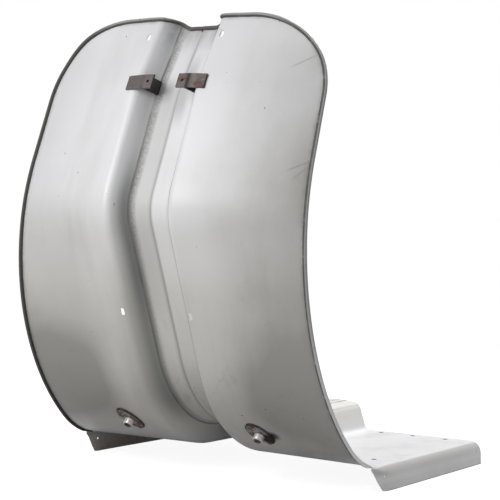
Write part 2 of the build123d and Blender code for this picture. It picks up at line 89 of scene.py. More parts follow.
class SideLine:
    """Straight runs and tangent arcs in the Y, Z plane, followed by length."""

    def __init__(self, start: Pair, runs: Sequence[Pair]) -> None:
        """Work out where each run starts.

        Args:
            start: Y and Z of the first point.
            runs: Length and turn in degrees of each run, turned upwards from straight ahead.
        """
        rows = []
        y, z, heading, done = start[0], start[1], 0.0, 0.0
        for length, turn in runs:
            curve = math.radians(turn) / length
            rows.append((done, y, z, heading, curve))
            bent = heading + curve * length
            if curve:
                y -= (math.sin(bent) - math.sin(heading)) / curve
                z += (math.cos(heading) - math.cos(bent)) / curve
            else:
                y -= length * math.cos(heading)
                z += length * math.sin(heading)
            heading = bent
            done += length
        self.length = done
        self.begin, self.y, self.z, self.heading, self.curve = np.array(rows).T

    def at(self, length: Array) -> tuple[Array, Array, Array]:
        """Follow the line: straight runs go on by the heading, arcs by the sine and cosine of it.

        Args:
            length: Lengths from the start; the last run goes on past its end.

        Returns:
            Y, Z and heading at each length.
        """
        run = np.clip(np.searchsorted(self.begin, length, side="right") - 1, 0, None)
        gone = length - self.begin[run]
        heading, curve = self.heading[run], self.curve[run]
        bent = heading + curve * gone
        straight = np.abs(curve) < TINY
        safe = np.where(straight, 1.0, curve)
        ahead = np.where(straight, gone * np.cos(heading), (np.sin(bent) - np.sin(heading)) / safe)
        rise = np.where(straight, gone * np.sin(heading), (np.cos(heading) - np.cos(bent)) / safe)
        return self.y[run] - ahead, self.z[run] + rise, bent


def bend(radius: float, turn: float) -> Pair:
    """Length and turn of an arc."""
    return radius * math.radians(abs(turn)), turn


def ease(value: Array, low: float, high: float) -> Array:
    """0 below low, 1 above high, and the cubic 3 t^2 - 2 t^3 between."""
    share = np.clip((np.asarray(value, float) - low) / (high - low), 0.0, 1.0)
    return share * share * (3.0 - 2.0 * share)


def halve(low: Array, high: Array, above: Callable[[Array], Array]) -> Array:
    """Find by halving where a rising test turns true.

    Args:
        low: Values where the test is false.
        high: Values where the test is true.
        above: The test, on a whole array.

    Returns:
        The values where it turns.
    """
    for _ in range(HALVINGS):
        middle = (low + high) / 2.0
        over = above(middle)
        low, high = np.where(over, low, middle), np.where(over, middle, high)
    return (low + high) / 2.0


def unit(vectors: Array) -> Array:
    """Each vector divided by its length."""
    size = np.linalg.norm(vectors, axis=-1, keepdims=True)
    return vectors / np.where(size < TINY, 1.0, size)


@dataclass(frozen=True)
class ShieldForm:
    """The pressed form of the shield: side lines, channel section, wing sweep and outline."""

    sheet: float = 1.2
    lap_width: float = 14.0
    lap_gap: float = 0.2
    bolt_row_y: float = 345.0
    rear_y: float = 366.0
    floor_level: float = 37.5
    ridge_runs: tuple[Pair, ...] = (
        (338.0, 0.0),
        bend(234.0, 66.9),
        (221.0, 0.0),
        bend(106.0, 44.1),
        (157.0, 0.0),
        bend(142.0, 10.0),
        (105.0, 0.0),
    )
    edge_rise: float = 1.5
    edge_runs: tuple[Pair, ...] = (
        (365.0, 0.0),
        bend(150.0, 41.0),
        bend(392.0, 68.0),
        (152.0, 0.0),
        bend(113.0, -19.0),
        (45.0, 0.0),
    )
    shoulder_x: float = 56.0
    channel_x: float = 39.0
    channel_depth: float = 36.0
    tunnel_depth: float = 48.5
    tunnel_run_out: float = 440.0
    corner_radius: float = 12.0
    tunnel_radius: float = 17.0
    dish_radius: float = 24.0
    dish_length: float = 60.0
    shoulder_radius: float = 12.0
    bend_x: float = 92.0
    bend_share: float = 0.6
    straight_x: float = 250.0
    top_level: float = 724.4
    crown_x: float = 108.0
    notch_x: float = 23.0
    crest_level: float = 725.25
    crest_x: float = 52.0
    fall_x: float = 70.0
    notch_level: float = 713.0
    top_radius: float = 175.0
    top_turn: float = 27.0
    round_radius: float = 129.0
    side_flare: float = 2.0
    bead_radius: float = 3.4
    bead_ahead: float = 4.4
    edge_search: float = 150.0
    panel_start: float = 380.0
    panel_run: float = 900.0

    @cached_property
    def ridge(self) -> SideLine:
        """Side line of the ridge beside the channel."""
        return SideLine((self.rear_y, self.floor_level), self.ridge_runs)

    @cached_property
    def edge(self) -> SideLine:
        """Side line of the outer edge of the wings."""
        return SideLine((self.rear_y, self.floor_level + self.edge_rise), self.edge_runs)

    def to_row(self, points: Array) -> Array:
        """Points of the drawing in metres in the row's frame."""
        origin = (0.0, self.bolt_row_y, self.floor_level + self.sheet / 2.0)
        return (np.asarray(points, float) - origin) * MM

    def drop(self, station: Array) -> Array:
        """How far the outer edge lies behind the ridge, square to the ridge.

        Args:
            station: Lengths along the ridge.

        Returns:
            The distance at each station.
        """
        y, z, heading = self.ridge.at(station)
        sine, cosine = np.sin(heading), np.cos(heading)

        def ahead(length: Array) -> Array:
            """Whether the edge point lies past the plane across the ridge."""
            edge_y, edge_z, _ = self.edge.at(length)
            return (edge_z - z) * sine - (edge_y - y) * cosine > 0.0

        found = halve(station - self.edge_search, station + self.edge_search, ahead)
        edge_y, edge_z, _ = self.edge.at(found)
        return (edge_y - y) * sine + (edge_z - z) * cosine

    def corner_point(self, inset: float, degrees: Array) -> tuple[Array, Array]:
        """X and Z on the outline's two tangent arcs, by the turn from level.

        Args:
            inset: Distance inside the outline.
            degrees: Turn from level, 0 at the crown to 90 less the flare at the side.

        Returns:
            X and Z of each point.
        """
        turn = np.radians(degrees)
        first = math.radians(self.top_turn)
        sink = self.top_radius - self.round_radius
        on_top = turn <= first
        radius = np.where(on_top, self.top_radius, self.round_radius) - inset
        x0 = self.crown_x + np.where(on_top, 0.0, sink * math.sin(first))
        z0 = self.top_level - self.top_radius + np.where(on_top, 0.0, sink * math.cos(first))
        return x0 + radius * np.sin(turn), z0 + radius * np.cos(turn)

    def side_x(self, level: Array) -> Array:
        """Half width of the outline's straight side at a level."""
        x, z = self.corner_point(0.0, np.array(90.0 - self.side_flare))
        return x + (z - level) * math.tan(math.radians(self.side_flare))

    def top_z(self, x: Array) -> Array:
        """Level of the outline's top: the notch over the channel, its flanks and the crown.

        Args:
            x: Distances from the middle plane.

        Returns:
            The level at each distance.
        """
        flank = ease(x, self.notch_x, self.crest_x) * (self.crest_level - self.notch_level)
        fall = ease(x, self.fall_x, self.crown_x) * (self.crest_level - self.top_level)
        return self.notch_level + flank - fall

    def depth(self, station: Array, x: Array, extra: float = 0.0) -> Array:
        """Depth of the front face behind the ridge line at x across each station.

        The section is the channel's flat floor, an arc into its wall, an arc over the shoulder, a
        quadratic curve through the soft bend of the wing and a straight sweep to the edge.

        Args:
            station: Lengths along the ridge.
            x: Distances from the middle plane, of the same shape.
            extra: How much deeper the channel lies, for the half behind the lap.

        Returns:
            The depth, counted to the rear.
        """
        _, z, heading = self.ridge.at(station)
        tunnel = 1.0 - ease(station, 0.0, self.tunnel_run_out)
        dish = ease(station, self.ridge.length - self.dish_length, self.ridge.length)
        floor = self.channel_depth + (self.tunnel_depth - self.channel_depth) * tunnel + extra
        radius = self.corner_radius + (self.tunnel_radius - self.corner_radius) * tunnel
        radius = radius + (self.dish_radius - self.corner_radius) * dish
        drop = self.drop(station)
        edge_x = self.side_x(z + drop * np.cos(heading))
        slope = self.bend_share * drop / (edge_x - self.shoulder_x)
        bend_n = slope * (self.bend_x - self.shoulder_x)
        sweep = (drop - bend_n) / (edge_x - self.bend_x)

        wall = np.arctan2(floor, self.shoulder_x - self.channel_x)
        reach = radius * np.tan(wall / 2.0)
        a1 = self.channel_x - reach
        b1 = self.channel_x + reach * np.cos(wall)
        corner = floor - radius + np.sqrt(np.clip(radius**2 - (x - a1) ** 2, 0.0, None))
        ledge = np.arctan(slope)
        r2 = self.shoulder_radius
        reach = r2 * np.tan((wall + ledge) / 2.0)
        a2 = self.shoulder_x - reach * np.cos(wall)
        b2 = self.shoulder_x + reach * np.cos(ledge)
        b2_n = reach * np.sin(ledge)
        centre_x = b2 - r2 * np.sin(ledge)
        centre_n = b2_n + r2 * np.cos(ledge)
        shoulder = centre_n - np.sqrt(np.clip(r2**2 - (x - centre_x) ** 2, 0.0, None))
        flat_wall = (self.shoulder_x - x) * np.tan(wall)
        straight_n = bend_n + sweep * (self.straight_x - self.bend_x)
        bow = b2 - 2.0 * self.bend_x + self.straight_x
        lead = self.bend_x - b2
        u = (np.sqrt(np.clip(lead**2 + bow * (x - b2), 0.0, None)) - lead) / bow
        wing = (1 - u) ** 2 * b2_n + 2 * u * (1 - u) * bend_n + u**2 * straight_n
        far = bend_n + sweep * (x - self.bend_x)
        return np.select(
            [x <= a1, x <= b1, x <= a2, x <= b2, x < self.straight_x],
            [floor, corner, flat_wall, shoulder, wing],
            far,
        )

    def place(self, station: Array, x: Array, depth: Array) -> Array:
        """Points of the drawing at a depth behind the ridge line."""
        y, z, heading = self.ridge.at(station)
        return np.stack((x, y + depth * np.sin(heading), z + depth * np.cos(heading)), axis=-1)

    def axes(self, station: float) -> tuple[Array, Array]:
        """Unit vectors up the ridge and square to it.

        Args:
            station: Length along the ridge.

        Returns:
            The vector up the ridge and the one to the rear.
        """
        heading = float(self.ridge.at(np.array(station))[2])
        sine, cosine = math.sin(heading), math.cos(heading)
        return np.array((0.0, -cosine, sine)), np.array((0.0, sine, cosine))

    def rear(self, station: Array, x: Array, extra: float) -> Array:
        """Unit normals to the rear: the cross product of small steps up the ridge and across it.

        Args:
            station: Lengths along the ridge.
            x: Distances from the middle plane.
            extra: Further depth of the channel.

        Returns:
            One vector for each place.
        """
        step = 0.05

        def at(up: float, side: float) -> Array:
            """Point of the face a little further up or to the side."""
            return self.place(station + up, x + side, self.depth(station + up, x + side, extra))

        return unit(np.cross(at(step, 0.0) - at(-step, 0.0), at(0.0, step) - at(0.0, -step)))

    def station_at(self, x: Array, level: Array, extra: float = 0.0) -> Array:
        """Station where the front face at x reaches a level.

        Args:
            x: Distances from the middle plane.
            level: Levels above the lips.
            extra: How much deeper the channel lies.

        Returns:
            The station for each pair.
        """

        def above(station: Array) -> Array:
            """Whether the face has passed the level."""
            _, z, heading = self.ridge.at(station)
            return z + self.depth(station, x, extra) * np.cos(heading) > level

        low = np.full(np.shape(x), self.panel_start)
        return halve(low, low + self.panel_run, above)


FORM = ShieldForm()


def grid_faces(rows: int, columns: int, start: int = 0, turned: bool = False) -> Array:
    """Quads of a grid of vertices stored row by row.

    Args:
        rows: Vertices along the first parameter.
        columns: Vertices along the second parameter.
        start: Index of the first vertex.
        turned: Whether the quads face the other way.

    Returns:
        One row of four indices for each quad.
    """
    index = start + np.arange(rows * columns).reshape(rows, columns)
    quads = np.stack((index[:-1, :-1], index[:-1, 1:], index[1:, 1:], index[1:, :-1]), axis=-1)
    quads = quads.reshape(-1, 4)
    return quads[:, ::-1] if turned else quads


def strip_faces(first: Array, second: Array) -> Array:
    """Quads between two runs of vertices."""
    return np.stack((first[:-1], first[1:], second[1:], second[:-1]), axis=-1)


def grid_normals(points: Array) -> Array:
    """Unit normals of a grid, from the cross product of its two parameter directions."""
    along, across = np.gradient(points, axis=(0, 1))
    return unit(np.cross(along, across))


@dataclass
class Shell:
    """Vertices, faces and vertex values of one piece before it becomes a mesh."""

    points: list[Array] = field(default_factory=list)
    faces: list[Array] = field(default_factory=list)
    values: dict[str, list[Array]] = field(default_factory=dict)
    count: int = 0

    def add(self, points: Array, **values: Array | float) -> Array:
        """Add vertices.

        Args:
            points: Vertices of any shape that ends in three, in the drawing's frame.
            **values: Named values for each vertex, or one for all.

        Returns:
            The new vertices' indices, in the points' shape.
        """
        flat = points.reshape(-1, 3)
        index = self.count + np.arange(len(flat))
        self.points.append(flat)
        for name, value in values.items():
            spread = np.broadcast_to(value, points.shape[:-1]).reshape(-1)
            self.values.setdefault(name, []).append(spread.astype(float))
        self.count += len(flat)
        return index.reshape(points.shape[:-1])

    def add_grid(self, points: Array, turned: bool = False, **values: Array | float) -> Array:
        """Add a grid with its quads.

        Args:
            points: Vertices as row, column and coordinate.
            turned: Whether the quads face the other way.
            **values: Named values for each vertex, or one for all.

        Returns:
            The vertices' indices.
        """
        index = self.add(points, **values)
        self.faces.append(grid_faces(*index.shape, int(index.flat[0]), turned))
        return index

    def bridge(self, runs: Iterable[tuple[Array, Array]]) -> None:
        """Add quads between each pair of vertex runs."""
        self.faces.extend(strip_faces(first, second) for first, second in runs)

    def add_slab(self, front: Array, back: Array, **values: Array | float) -> None:
        """Add a closed slab between two grids of one shape."""
        a, b = self.add_grid(front, **values), self.add_grid(back, True, **values)
        self.bridge(((a[0], b[0]), (a[-1], b[-1]), (a[:, 0], b[:, 0]), (a[:, -1], b[:, -1])))

    def add_rings(self, rings: Array, **values: Array | float) -> Array:
        """Add rings of vertices joined round and along.

        Args:
            rings: Vertices as path step, place round the ring and coordinate.
            **values: Named values for each vertex, or one for all.

        Returns:
            The vertices' indices, each ring's first one again at its end.
        """
        index = self.add(rings, **values)
        looped = np.concatenate((index, index[:, :1]), axis=1)
        self.bridge(zip(looped[:-1], looped[1:]))
        return looped

    def add_turned(self, rings: Array, **values: float) -> None:
        """Add a turned ring, whose last ring of vertices joins the first."""
        self.add_rings(np.concatenate((rings, rings[:1])), **values)

    def add_tube(self, rings: Array, **values: Array | float) -> None:
        """Add rings joined round and along, with flat ends.

        Args:
            rings: Vertices as path step, place round the ring and coordinate.
            **values: Named values for each vertex, or one for all.
        """
        looped = self.add_rings(rings, **values)
        middle = np.stack((rings[0].mean(axis=0), rings[-1].mean(axis=0)))
        ends = {name: np.array((np.ravel(v)[0], np.ravel(v)[-1])) for name, v in values.items()}
        caps = self.add(middle, **ends)
        for ring, cap in ((looped[0], caps[0]), (looped[-1], caps[1])):
            fan = np.stack((ring[:-1], ring[1:], np.full(len(ring) - 1, cap)), axis=-1)
            self.faces.append(fan)

    def mirror(self, side: Side) -> "Shell":
        """Turn the shell to a half's side."""
        self.points = [block * (side.value, 1.0, 1.0) for block in self.points]
        return self

    def mesh(self, name: str, sharp_degrees: float = 35.0) -> bpy.types.Object:
        """Make the mesh object, merge doubles and point its faces outwards.

        Args:
            name: Name of the piece.
            sharp_degrees: Edges turning more than this stay sharp.

        Returns:
            The object, linked to the scene.
        """
        data = bpy.data.meshes.new(name)
        points = FORM.to_row(np.concatenate(self.points))
        data.from_pydata(points.tolist(), [], [f for block in self.faces for f in block.tolist()])
        for key, blocks in self.values.items():
            layer = data.attributes.new(key, "FLOAT", "POINT")
            layer.data.foreach_set("value", np.concatenate(blocks).astype(np.float32))
        work = bmesh.new()
        work.from_mesh(data)
        bmesh.ops.remove_doubles(work, verts=work.verts, dist=MERGE)
        bmesh.ops.dissolve_degenerate(work, edges=work.edges, dist=FLAT)
        bmesh.ops.recalc_face_normals(work, faces=work.faces)
        work.to_mesh(data)
        work.free()
        smooth(data, sharp_degrees)
        piece = bpy.data.objects.new(name, data)
        bpy.context.scene.collection.objects.link(piece)
        return piece


def smooth(data: bpy.types.Mesh, sharp_degrees: float) -> None:
    """Shade a mesh smooth.

    Args:
        data: The mesh.
        sharp_degrees: Edges turning more than this stay sharp.
    """
    data.polygons.foreach_set("use_smooth", np.ones(len(data.polygons), bool))
    data.set_sharp_from_angle(angle=math.radians(sharp_degrees))
    data.update()


def cut(piece: bpy.types.Object, cutters: Shell, sharp_degrees: float = 35.0) -> None:
    """Cut the cutters out of a piece and keep the result as its own mesh.

    Args:
        piece: The piece to drill.
        cutters: Closed prisms, apart from each other.
        sharp_degrees: Edges turning more than this stay sharp.
    """
    drill = cutters.mesh(f"{piece.name}_drills")
    tool = piece.modifiers.new("drill", "BOOLEAN")
    tool.object = drill
    tool.operation = "DIFFERENCE"
    tool.solver = "EXACT"
    bpy.context.view_layer.update()
    ready = piece.evaluated_get(bpy.context.evaluated_depsgraph_get())
    done = bpy.data.meshes.new_from_object(ready)
    piece.modifiers.clear()
    old = piece.data
    piece.data = done
    done.name = old.name
    bpy.data.meshes.remove(old)
    bpy.data.objects.remove(drill)
    smooth(done, sharp_degrees)


def round_edges(piece: bpy.types.Object, width: float, sharp_degrees: float = 40.0) -> None:
    """Bevel a piece's sharp edges.

    Args:
        piece: The piece.
        width: Width of the bevel, in millimetres.
        sharp_degrees: Edges turning more than this are bevelled.
    """
    tool = piece.modifiers.new("edges", "BEVEL")
    tool.width = width * MM
    tool.segments = 2
    tool.limit_method = "ANGLE"
    tool.angle_limit = math.radians(sharp_degrees)
    tool.harden_normals = True


def prism(
    origin: Array,
    across: Array,
    along: Array,
    length: float,
    width: float,
    depth: float,
    segments: int = 28,
) -> Array:
    """Rings of an oblong prism: a ring with round ends of the width, moved along its axis.

    Args:
        origin: Middle of the hole.
        across: Unit vector along the oblong's length.
        along: Unit vector along the axis.
        length: End to end length of the oblong.
        width: Width of the oblong.
        depth: Half length of the prism.
        segments: Steps round the axis.

    Returns:
        Two rings of vertices.
    """
    turn = np.linspace(0.0, TURN, segments, endpoint=False)
    other = np.cross(along, across)
    slide = (length - width) / 2.0 * np.sign(np.cos(turn))
    ring = (
        np.outer(np.cos(turn) * width / 2.0 + slide, across)
        + np.outer(np.sin(turn) * width / 2.0, other)
    )
    return np.stack((origin + ring - along * depth, origin + ring + along * depth))


def lathe(profile: Array, origin: Array, axis: Array, segments: int = 48) -> Array:
    """Turned surface: each profile point, as radius and height, carried round the axis.

    Args:
        profile: Radius and height of each point.
        origin: Point of the axis at height 0.
        axis: Unit vector along the axis, square to X.
        segments: Steps round the axis.

    Returns:
        Rings of vertices, one round the axis for each profile point.
    """
    turn = np.linspace(0.0, TURN, segments, endpoint=False)
    other = np.cross(axis, ACROSS)
    round_ = np.outer(np.cos(turn), ACROSS) + np.outer(np.sin(turn), other)
    radius, height = profile[:, 0, None, None], profile[:, 1, None, None]
    return origin + radius * round_[None] + height * axis


class Term:
    """A shader value; operators on it add Math nodes."""

    def __init__(self, graph: "Graph", socket: bpy.types.NodeSocket) -> None:
        """Wrap a socket of a graph."""
        self.graph = graph
        self.socket = socket

    def join(self, operation: str, other: "Term | float", swap: bool = False) -> "Term":
        """Add a Math node with this value and another.

        Args:
            operation: The Math node's operation.
            other: The second value.
            swap: Whether the other value comes first.

        Returns:
            The result.
        """
        pair = (other, self) if swap else (self, other)
        node = self.graph.node("ShaderNodeMath", {"operation": operation}, dict(enumerate(pair)))
        return Term(self.graph, node.outputs[0])

    def __add__(self, other: "Term | float") -> "Term":
        """Sum."""
        return self.join("ADD", other)

    __radd__ = __add__

    def __sub__(self, other: "Term | float") -> "Term":
        """Difference."""
        return self.join("SUBTRACT", other)

    def __rsub__(self, other: "Term | float") -> "Term":
        """Difference from a number."""
        return self.join("SUBTRACT", other, True)

    def __mul__(self, other: "Term | float") -> "Term":
        """Product."""
        return self.join("MULTIPLY", other)

    def __pow__(self, other: "Term | float") -> "Term":
        """Power."""
        return self.join("POWER", other)

    def size(self) -> "Term":
        """Absolute value."""
        return self.join("ABSOLUTE", 0.0)

    def least(self, other: "Term | float") -> "Term":
        """The smaller of two."""
        return self.join("MINIMUM", other)

    def most(self, other: "Term | float") -> "Term":
        """The larger of two."""
        return self.join("MAXIMUM", other)

    def step(self, low: float, high: float) -> "Term":
        """Smooth step from 0 at one value to 1 at another.

        Args:
            low: The value that gives 0.
            high: The value that gives 1, above or below it.

        Returns:
            The result.
        """
        node = self.graph.node(
            "ShaderNodeMapRange",
            {"interpolation_type": "SMOOTHSTEP", "clamp": True},
            {"Value": self, "From Min": low, "From Max": high, "To Min": 0.0, "To Max": 1.0},
        )
        return Term(self.graph, node.outputs["Result"])

    def within(self, span: Span) -> "Term":
        """Smooth rise over a span's first two values and fall over its last two."""
        return self.step(span[0], span[1]) * self.step(span[3], span[2])


class Graph:
    """One material's node tree, with the few calls that the finishes need."""

    def __init__(self, name: str) -> None:
        """Start a material with its shader and output.

        Args:
            name: The material's name.
        """
        self.material = bpy.data.materials.new(name)
        self.material.use_nodes = True
        self.tree = self.material.node_tree
        self.tree.nodes.clear()
        output = self.tree.nodes.new("ShaderNodeOutputMaterial")
        self.shader = self.tree.nodes.new("ShaderNodeBsdfPrincipled")
        self.tree.links.new(self.shader.outputs[0], output.inputs[0])
        self.place = self.node("ShaderNodeTexCoord", {}, {}).outputs["Object"]
        split = self.node("ShaderNodeSeparateXYZ", {}, {0: self.place})
        self.x, self.y, self.z = (Term(self, socket) for socket in split.outputs)

    @cached_property
    def reach(self) -> Term:
        """Distance from the middle plane."""
        return self.x.size()

    def node(self, kind: str, settings: Mapping, inputs: Mapping) -> bpy.types.Node:
        """Add a node.

        Args:
            kind: The node's type.
            settings: Properties that are set first.
            inputs: Values, terms or sockets by input name or number.

        Returns:
            The node.
        """
        node = self.tree.nodes.new(kind)
        for name, value in settings.items():
            setattr(node, name, value)
        for key, value in inputs.items():
            self.feed(node.inputs[key], value)
        return node

    def feed(self, target: bpy.types.NodeSocket, value: object) -> None:
        """Link a term or socket to an input, or set a plain value on it.

        Args:
            target: The input.
            value: A term, a socket, a number or a colour.
        """
        if isinstance(value, Term):
            value = value.socket
        if isinstance(value, bpy.types.NodeSocket):
            self.tree.links.new(value, target)
        elif isinstance(value, tuple) and target.type == "RGBA":
            target.default_value = (*value, 1.0)
        else:
            target.default_value = value

    def noise(self, scale: float, detail: float = 4.0, stretch: Place = (1.0, 1.0, 1.0)) -> Term:
        """Noise on Object coordinates.

        Args:
            scale: Size of the pattern, in repeats per metre.
            detail: How many finer layers it has.
            stretch: Factor on each axis.

        Returns:
            The noise, about 0.5.
        """
        moved = self.node("ShaderNodeMapping", {}, {"Vector": self.place, "Scale": stretch})
        node = self.node(
            "ShaderNodeTexNoise",
            {},
            {"Vector": moved.outputs[0], "Scale": scale, "Detail": detail, "Roughness": 0.6},
        )
        return Term(self, node.outputs[0])

    def value(self, name: str) -> Term:
        """A value stored on the mesh's vertices."""
        node = self.node("ShaderNodeAttribute", {"attribute_name": name}, {})
        return Term(self, node.outputs["Fac"])

    def mix(self, share: Term, first: object, second: object) -> bpy.types.NodeSocket:
        """Colour between two.

        Args:
            share: Share of the second colour.
            first: A colour or a socket.
            second: A colour or a socket.

        Returns:
            The mixed colour.
        """
        node = self.node(
            "ShaderNodeMix",
            {"data_type": "RGBA", "clamp_factor": True},
            {0: share, 6: first, 7: second},
        )
        return node.outputs[2]

    def bump(self, height: Term, strength: float, distance: float) -> None:
        """Bump the shader's normal.

        Args:
            height: The relief.
            strength: Share of the bump that is used.
            distance: Metres for a height of 1.
        """
        node = self.node(
            "ShaderNodeBump", {}, {"Height": height, "Strength": strength, "Distance": distance}
        )
        self.feed(self.shader.inputs["Normal"], node.outputs[0])

    def set(self, **inputs: object) -> None:
        """Feed the shader's inputs, named with _ for each space."""
        for name, value in inputs.items():
            self.feed(self.shader.inputs[name.replace("_", " ")], value)


@dataclass(frozen=True)
class PanelPaint:
    """Old pale paint on the pressings, with grime in the corners and rust under the floor.

    Spans give a patch by height, by X or by reach from the middle plane, in metres of the row's
    frame. Pairs give one soft edge.
    """

    paint: Colour = (0.80, 0.80, 0.815)
    warm: Colour = (0.80, 0.79, 0.755)
    # Stain of wear, and painted shade on the wings, the channel's floor and round the lip's bend.
    stain_and_shade: Colour = (0.40, 0.39, 0.37)
    # Painted shade on the wings, the channel's left wall and the left shoulder, and dirt at the top
    # of the wall.
    film_and_shade: Colour = (0.20, 0.208, 0.20)
    brown: Colour = (0.50, 0.41, 0.34)
    # Grime, and painted shade by the rim and along the right shoulder's fold.
    grime: Colour = (0.13, 0.125, 0.115)
    rust: Colour = (0.12, 0.098, 0.088)
    grease: Colour = (0.012, 0.011, 0.01)
    under: Colour = (0.82, 0.76, 0.70)
    warm_height: Span = (0.01, 0.03, 0.20, 0.46)
    low_height: Span = (-0.005, 0.06, 0.06, 0.30)
    lower_darkening_height: Span = (0.035, 0.09, 0.10, 0.23)
    middle_height: Span = (0.06, 0.16, 0.33, 0.42)
    # Heights of the painted highlight by the right ridge.
    highlight_height: Span = (0.25, 0.31, 0.36, 0.42)
    wall_x: Span = (-0.054, -0.043, -0.038, -0.031)
    trough_x: Span = (-0.040, -0.037, -0.012, 0.008)
    trough_height: Span = (0.18, 0.32, 0.54, 0.60)
    shoulder_x: Span = (-0.095, -0.062, -0.046, -0.036)
    shoulder_height: Span = (0.05, 0.10, 0.24, 0.34)
    grubby_x: Span = (-0.052, -0.044, -0.041, -0.036)
    corner_line: Span = (0.0382, 0.0390, 0.0403, 0.0414)
    corner_band: Span = (0.0262, 0.0330, 0.0384, 0.0392)
    shoulder_line: Span = (0.0545, 0.0553, 0.0566, 0.0578)
    patch_x: Span = (-0.001, 0.002, 0.012, 0.026)
    patch_height: Span = (0.50, 0.55, 0.59, 0.635)
    lip_face: Pair = (0.2795, 0.2805)
    lip_bend: Pair = (0.258, 0.264)
    roll_height: Span = (-0.018, -0.007, -0.001, 0.0004)
    foot_height: Pair = (-0.0236, -0.0256)
    brink_height: Pair = (-0.0356, -0.0368)
    left_side: Pair = (0.0, -0.05)
    right_side: Pair = (-0.02, 0.02)
    black_patch_centre: Place = (0.146, -0.458, 0.041)
    hole_ring: float = 0.0012
    hole_edge: float = 0.0002
    # X and Z of both ends of each dent's line.
    creases: tuple[tuple[float, float, float, float], ...] = (
        (0.218, 0.443, 0.264, 0.463),
        (0.232, 0.431, 0.258, 0.455),
        (0.190, 0.597, 0.238, 0.621),
    )
    crease_width: float = 0.003

    @cached_property
    def graph(self) -> Graph:
        """The material's graph."""
        return Graph("panel_paint")

    @cached_property
    def low(self) -> Term:
        """Mask of the lower part."""
        return self.graph.z.within(self.low_height)

    @cached_property
    def streaks(self) -> Term:
        """Noise drawn out along the panel."""
        return self.graph.noise(9.0, 6.0, (1.6, 0.35, 0.35))

    @cached_property
    def foot(self) -> Term:
        """Mask of the lip's foot."""
        return self.graph.reach.step(*self.lip_face) * self.graph.z.step(*self.foot_height)

    def spot(self, place: Place) -> Term:
        """Distance of each shaded place from a point of the row's frame."""
        x, y, z = self.graph.x - place[0], self.graph.y - place[1], self.graph.z - place[2]
        return (x * x + y * y + z * z) ** 0.5

    def hole_shade(self, half: "PanelHalf") -> Term:
        """Mask of painted shade round the floor's holes, by distance in the floor's plane.

        Args:
            half: The pressing whose holes are meant.

        Returns:
            1 at a hole's wall, falling to 0 a ring's width away.
        """
        mask = 0.0
        wall = half.floor_hole / 2.0 * MM
        for x, y in half.floor_holes:
            spot = FORM.to_row(np.array((x, y, FORM.floor_level)))
            across, along = self.graph.reach - float(spot[0]), self.graph.y - float(spot[1])
            gap = (across * across + along * along) ** 0.5
            mask = gap.step(wall + self.hole_ring, wall + self.hole_edge).most(mask)
        return mask * self.graph.z.step(0.02, 0.01)

    def crease(self) -> Term:
        """Mask of the dents' lines on the right wing, each straight in X and Z between two places.

        Returns:
            1 on a line, falling to 0 beside it and at its ends.
        """
        x, z, mask = self.graph.x, self.graph.z, 0.0
        for start_x, start_z, end_x, end_z in self.creases:
            across = z - start_z - (x - start_x) * ((end_z - start_z) / (end_x - start_x))
            fade = (end_x - start_x) / 3.0
            ends = x.within((start_x, start_x + fade, end_x - fade, end_x))
            mask = (across.size().step(self.crease_width, 0.0) * ends).most(mask)
        return mask

    def darkening_share(self) -> Term:
        """Share of the stain: clouds and streaks, darker lower down, painted shade on the wings,
        and less of it by the right ridge and low in the middle as painted light.

        Returns:
            The share, which may pass 1.
        """
        x, z, reach = self.graph.x, self.graph.z, self.graph.reach
        left, right = x.step(*self.left_side), x.step(*self.right_side)
        cloud = self.graph.noise(4.0, 7.0)
        uneven = cloud * 0.6 + 0.7
        # Painted shade: darker towards the outer edge of the right wing, and of both wings low
        # down.
        film_and_shade = reach.step(0.07, 0.29) * z.step(0.004, 0.025) * right.most(self.low) * uneven
        height = z - reach.step(0.15, 0.27) * 0.04
        film_and_shade = film_and_shade * (height.step(0.52, 0.38) * 0.5 + 0.53)
        # Darker over the lower wings and over the left wing's middle heights.
        lower_darkening = z.within(self.lower_darkening_height) * reach.step(0.09, 0.17) * uneven
        lower_darkening = lower_darkening * (1.0 - reach.step(0.225, 0.27) * left * 0.75)
        middle = z.within(self.middle_height) * reach.step(0.09, 0.15) * left
        worn = cloud.step(0.38, 0.8) * 0.2 + self.streaks.step(0.45, 0.8) * 0.2 + self.low * 0.26
        worn = worn + film_and_shade * 0.86 + lower_darkening * (x.step(0.05, -0.05) * 0.22 + 0.56)
        # Painted bounce light: less stain low down by the middle.
        worn = (worn + middle * 0.28) * (1.0 - reach.step(0.10, 0.05) * z.step(0.08, 0.03) * 0.8)
        # Painted highlight: less stain by the right ridge.
        clear = (z.within(self.highlight_height) + z.step(0.44, 0.52)) * reach.step(0.15, 0.09)
        return worn * (1.0 - clear * right * 0.9)

    def channel(self, colour: bpy.types.NodeSocket) -> bpy.types.NodeSocket:
        """Darken the channel's left wall with painted shade and grime, and its floor and the left
        shoulder with painted shade; dirty the top of the left wall.

        Args:
            colour: The paint so far.

        Returns:
            The new colour.
        """
        graph, x, z = self.graph, self.graph.x, self.graph.z
        # Painted shade, with grime streaks, down the channel's left wall.
        tall = z.step(0.50, 0.39) * (z.step(0.15, 0.31) * 0.4 + z.step(0.02, 0.09) * 0.6)
        wall = x.within(self.wall_x) * (self.streaks * 0.4 + 0.8)
        wall = wall * (tall * 0.58 + z.step(0.03, 0.09) * 0.35)
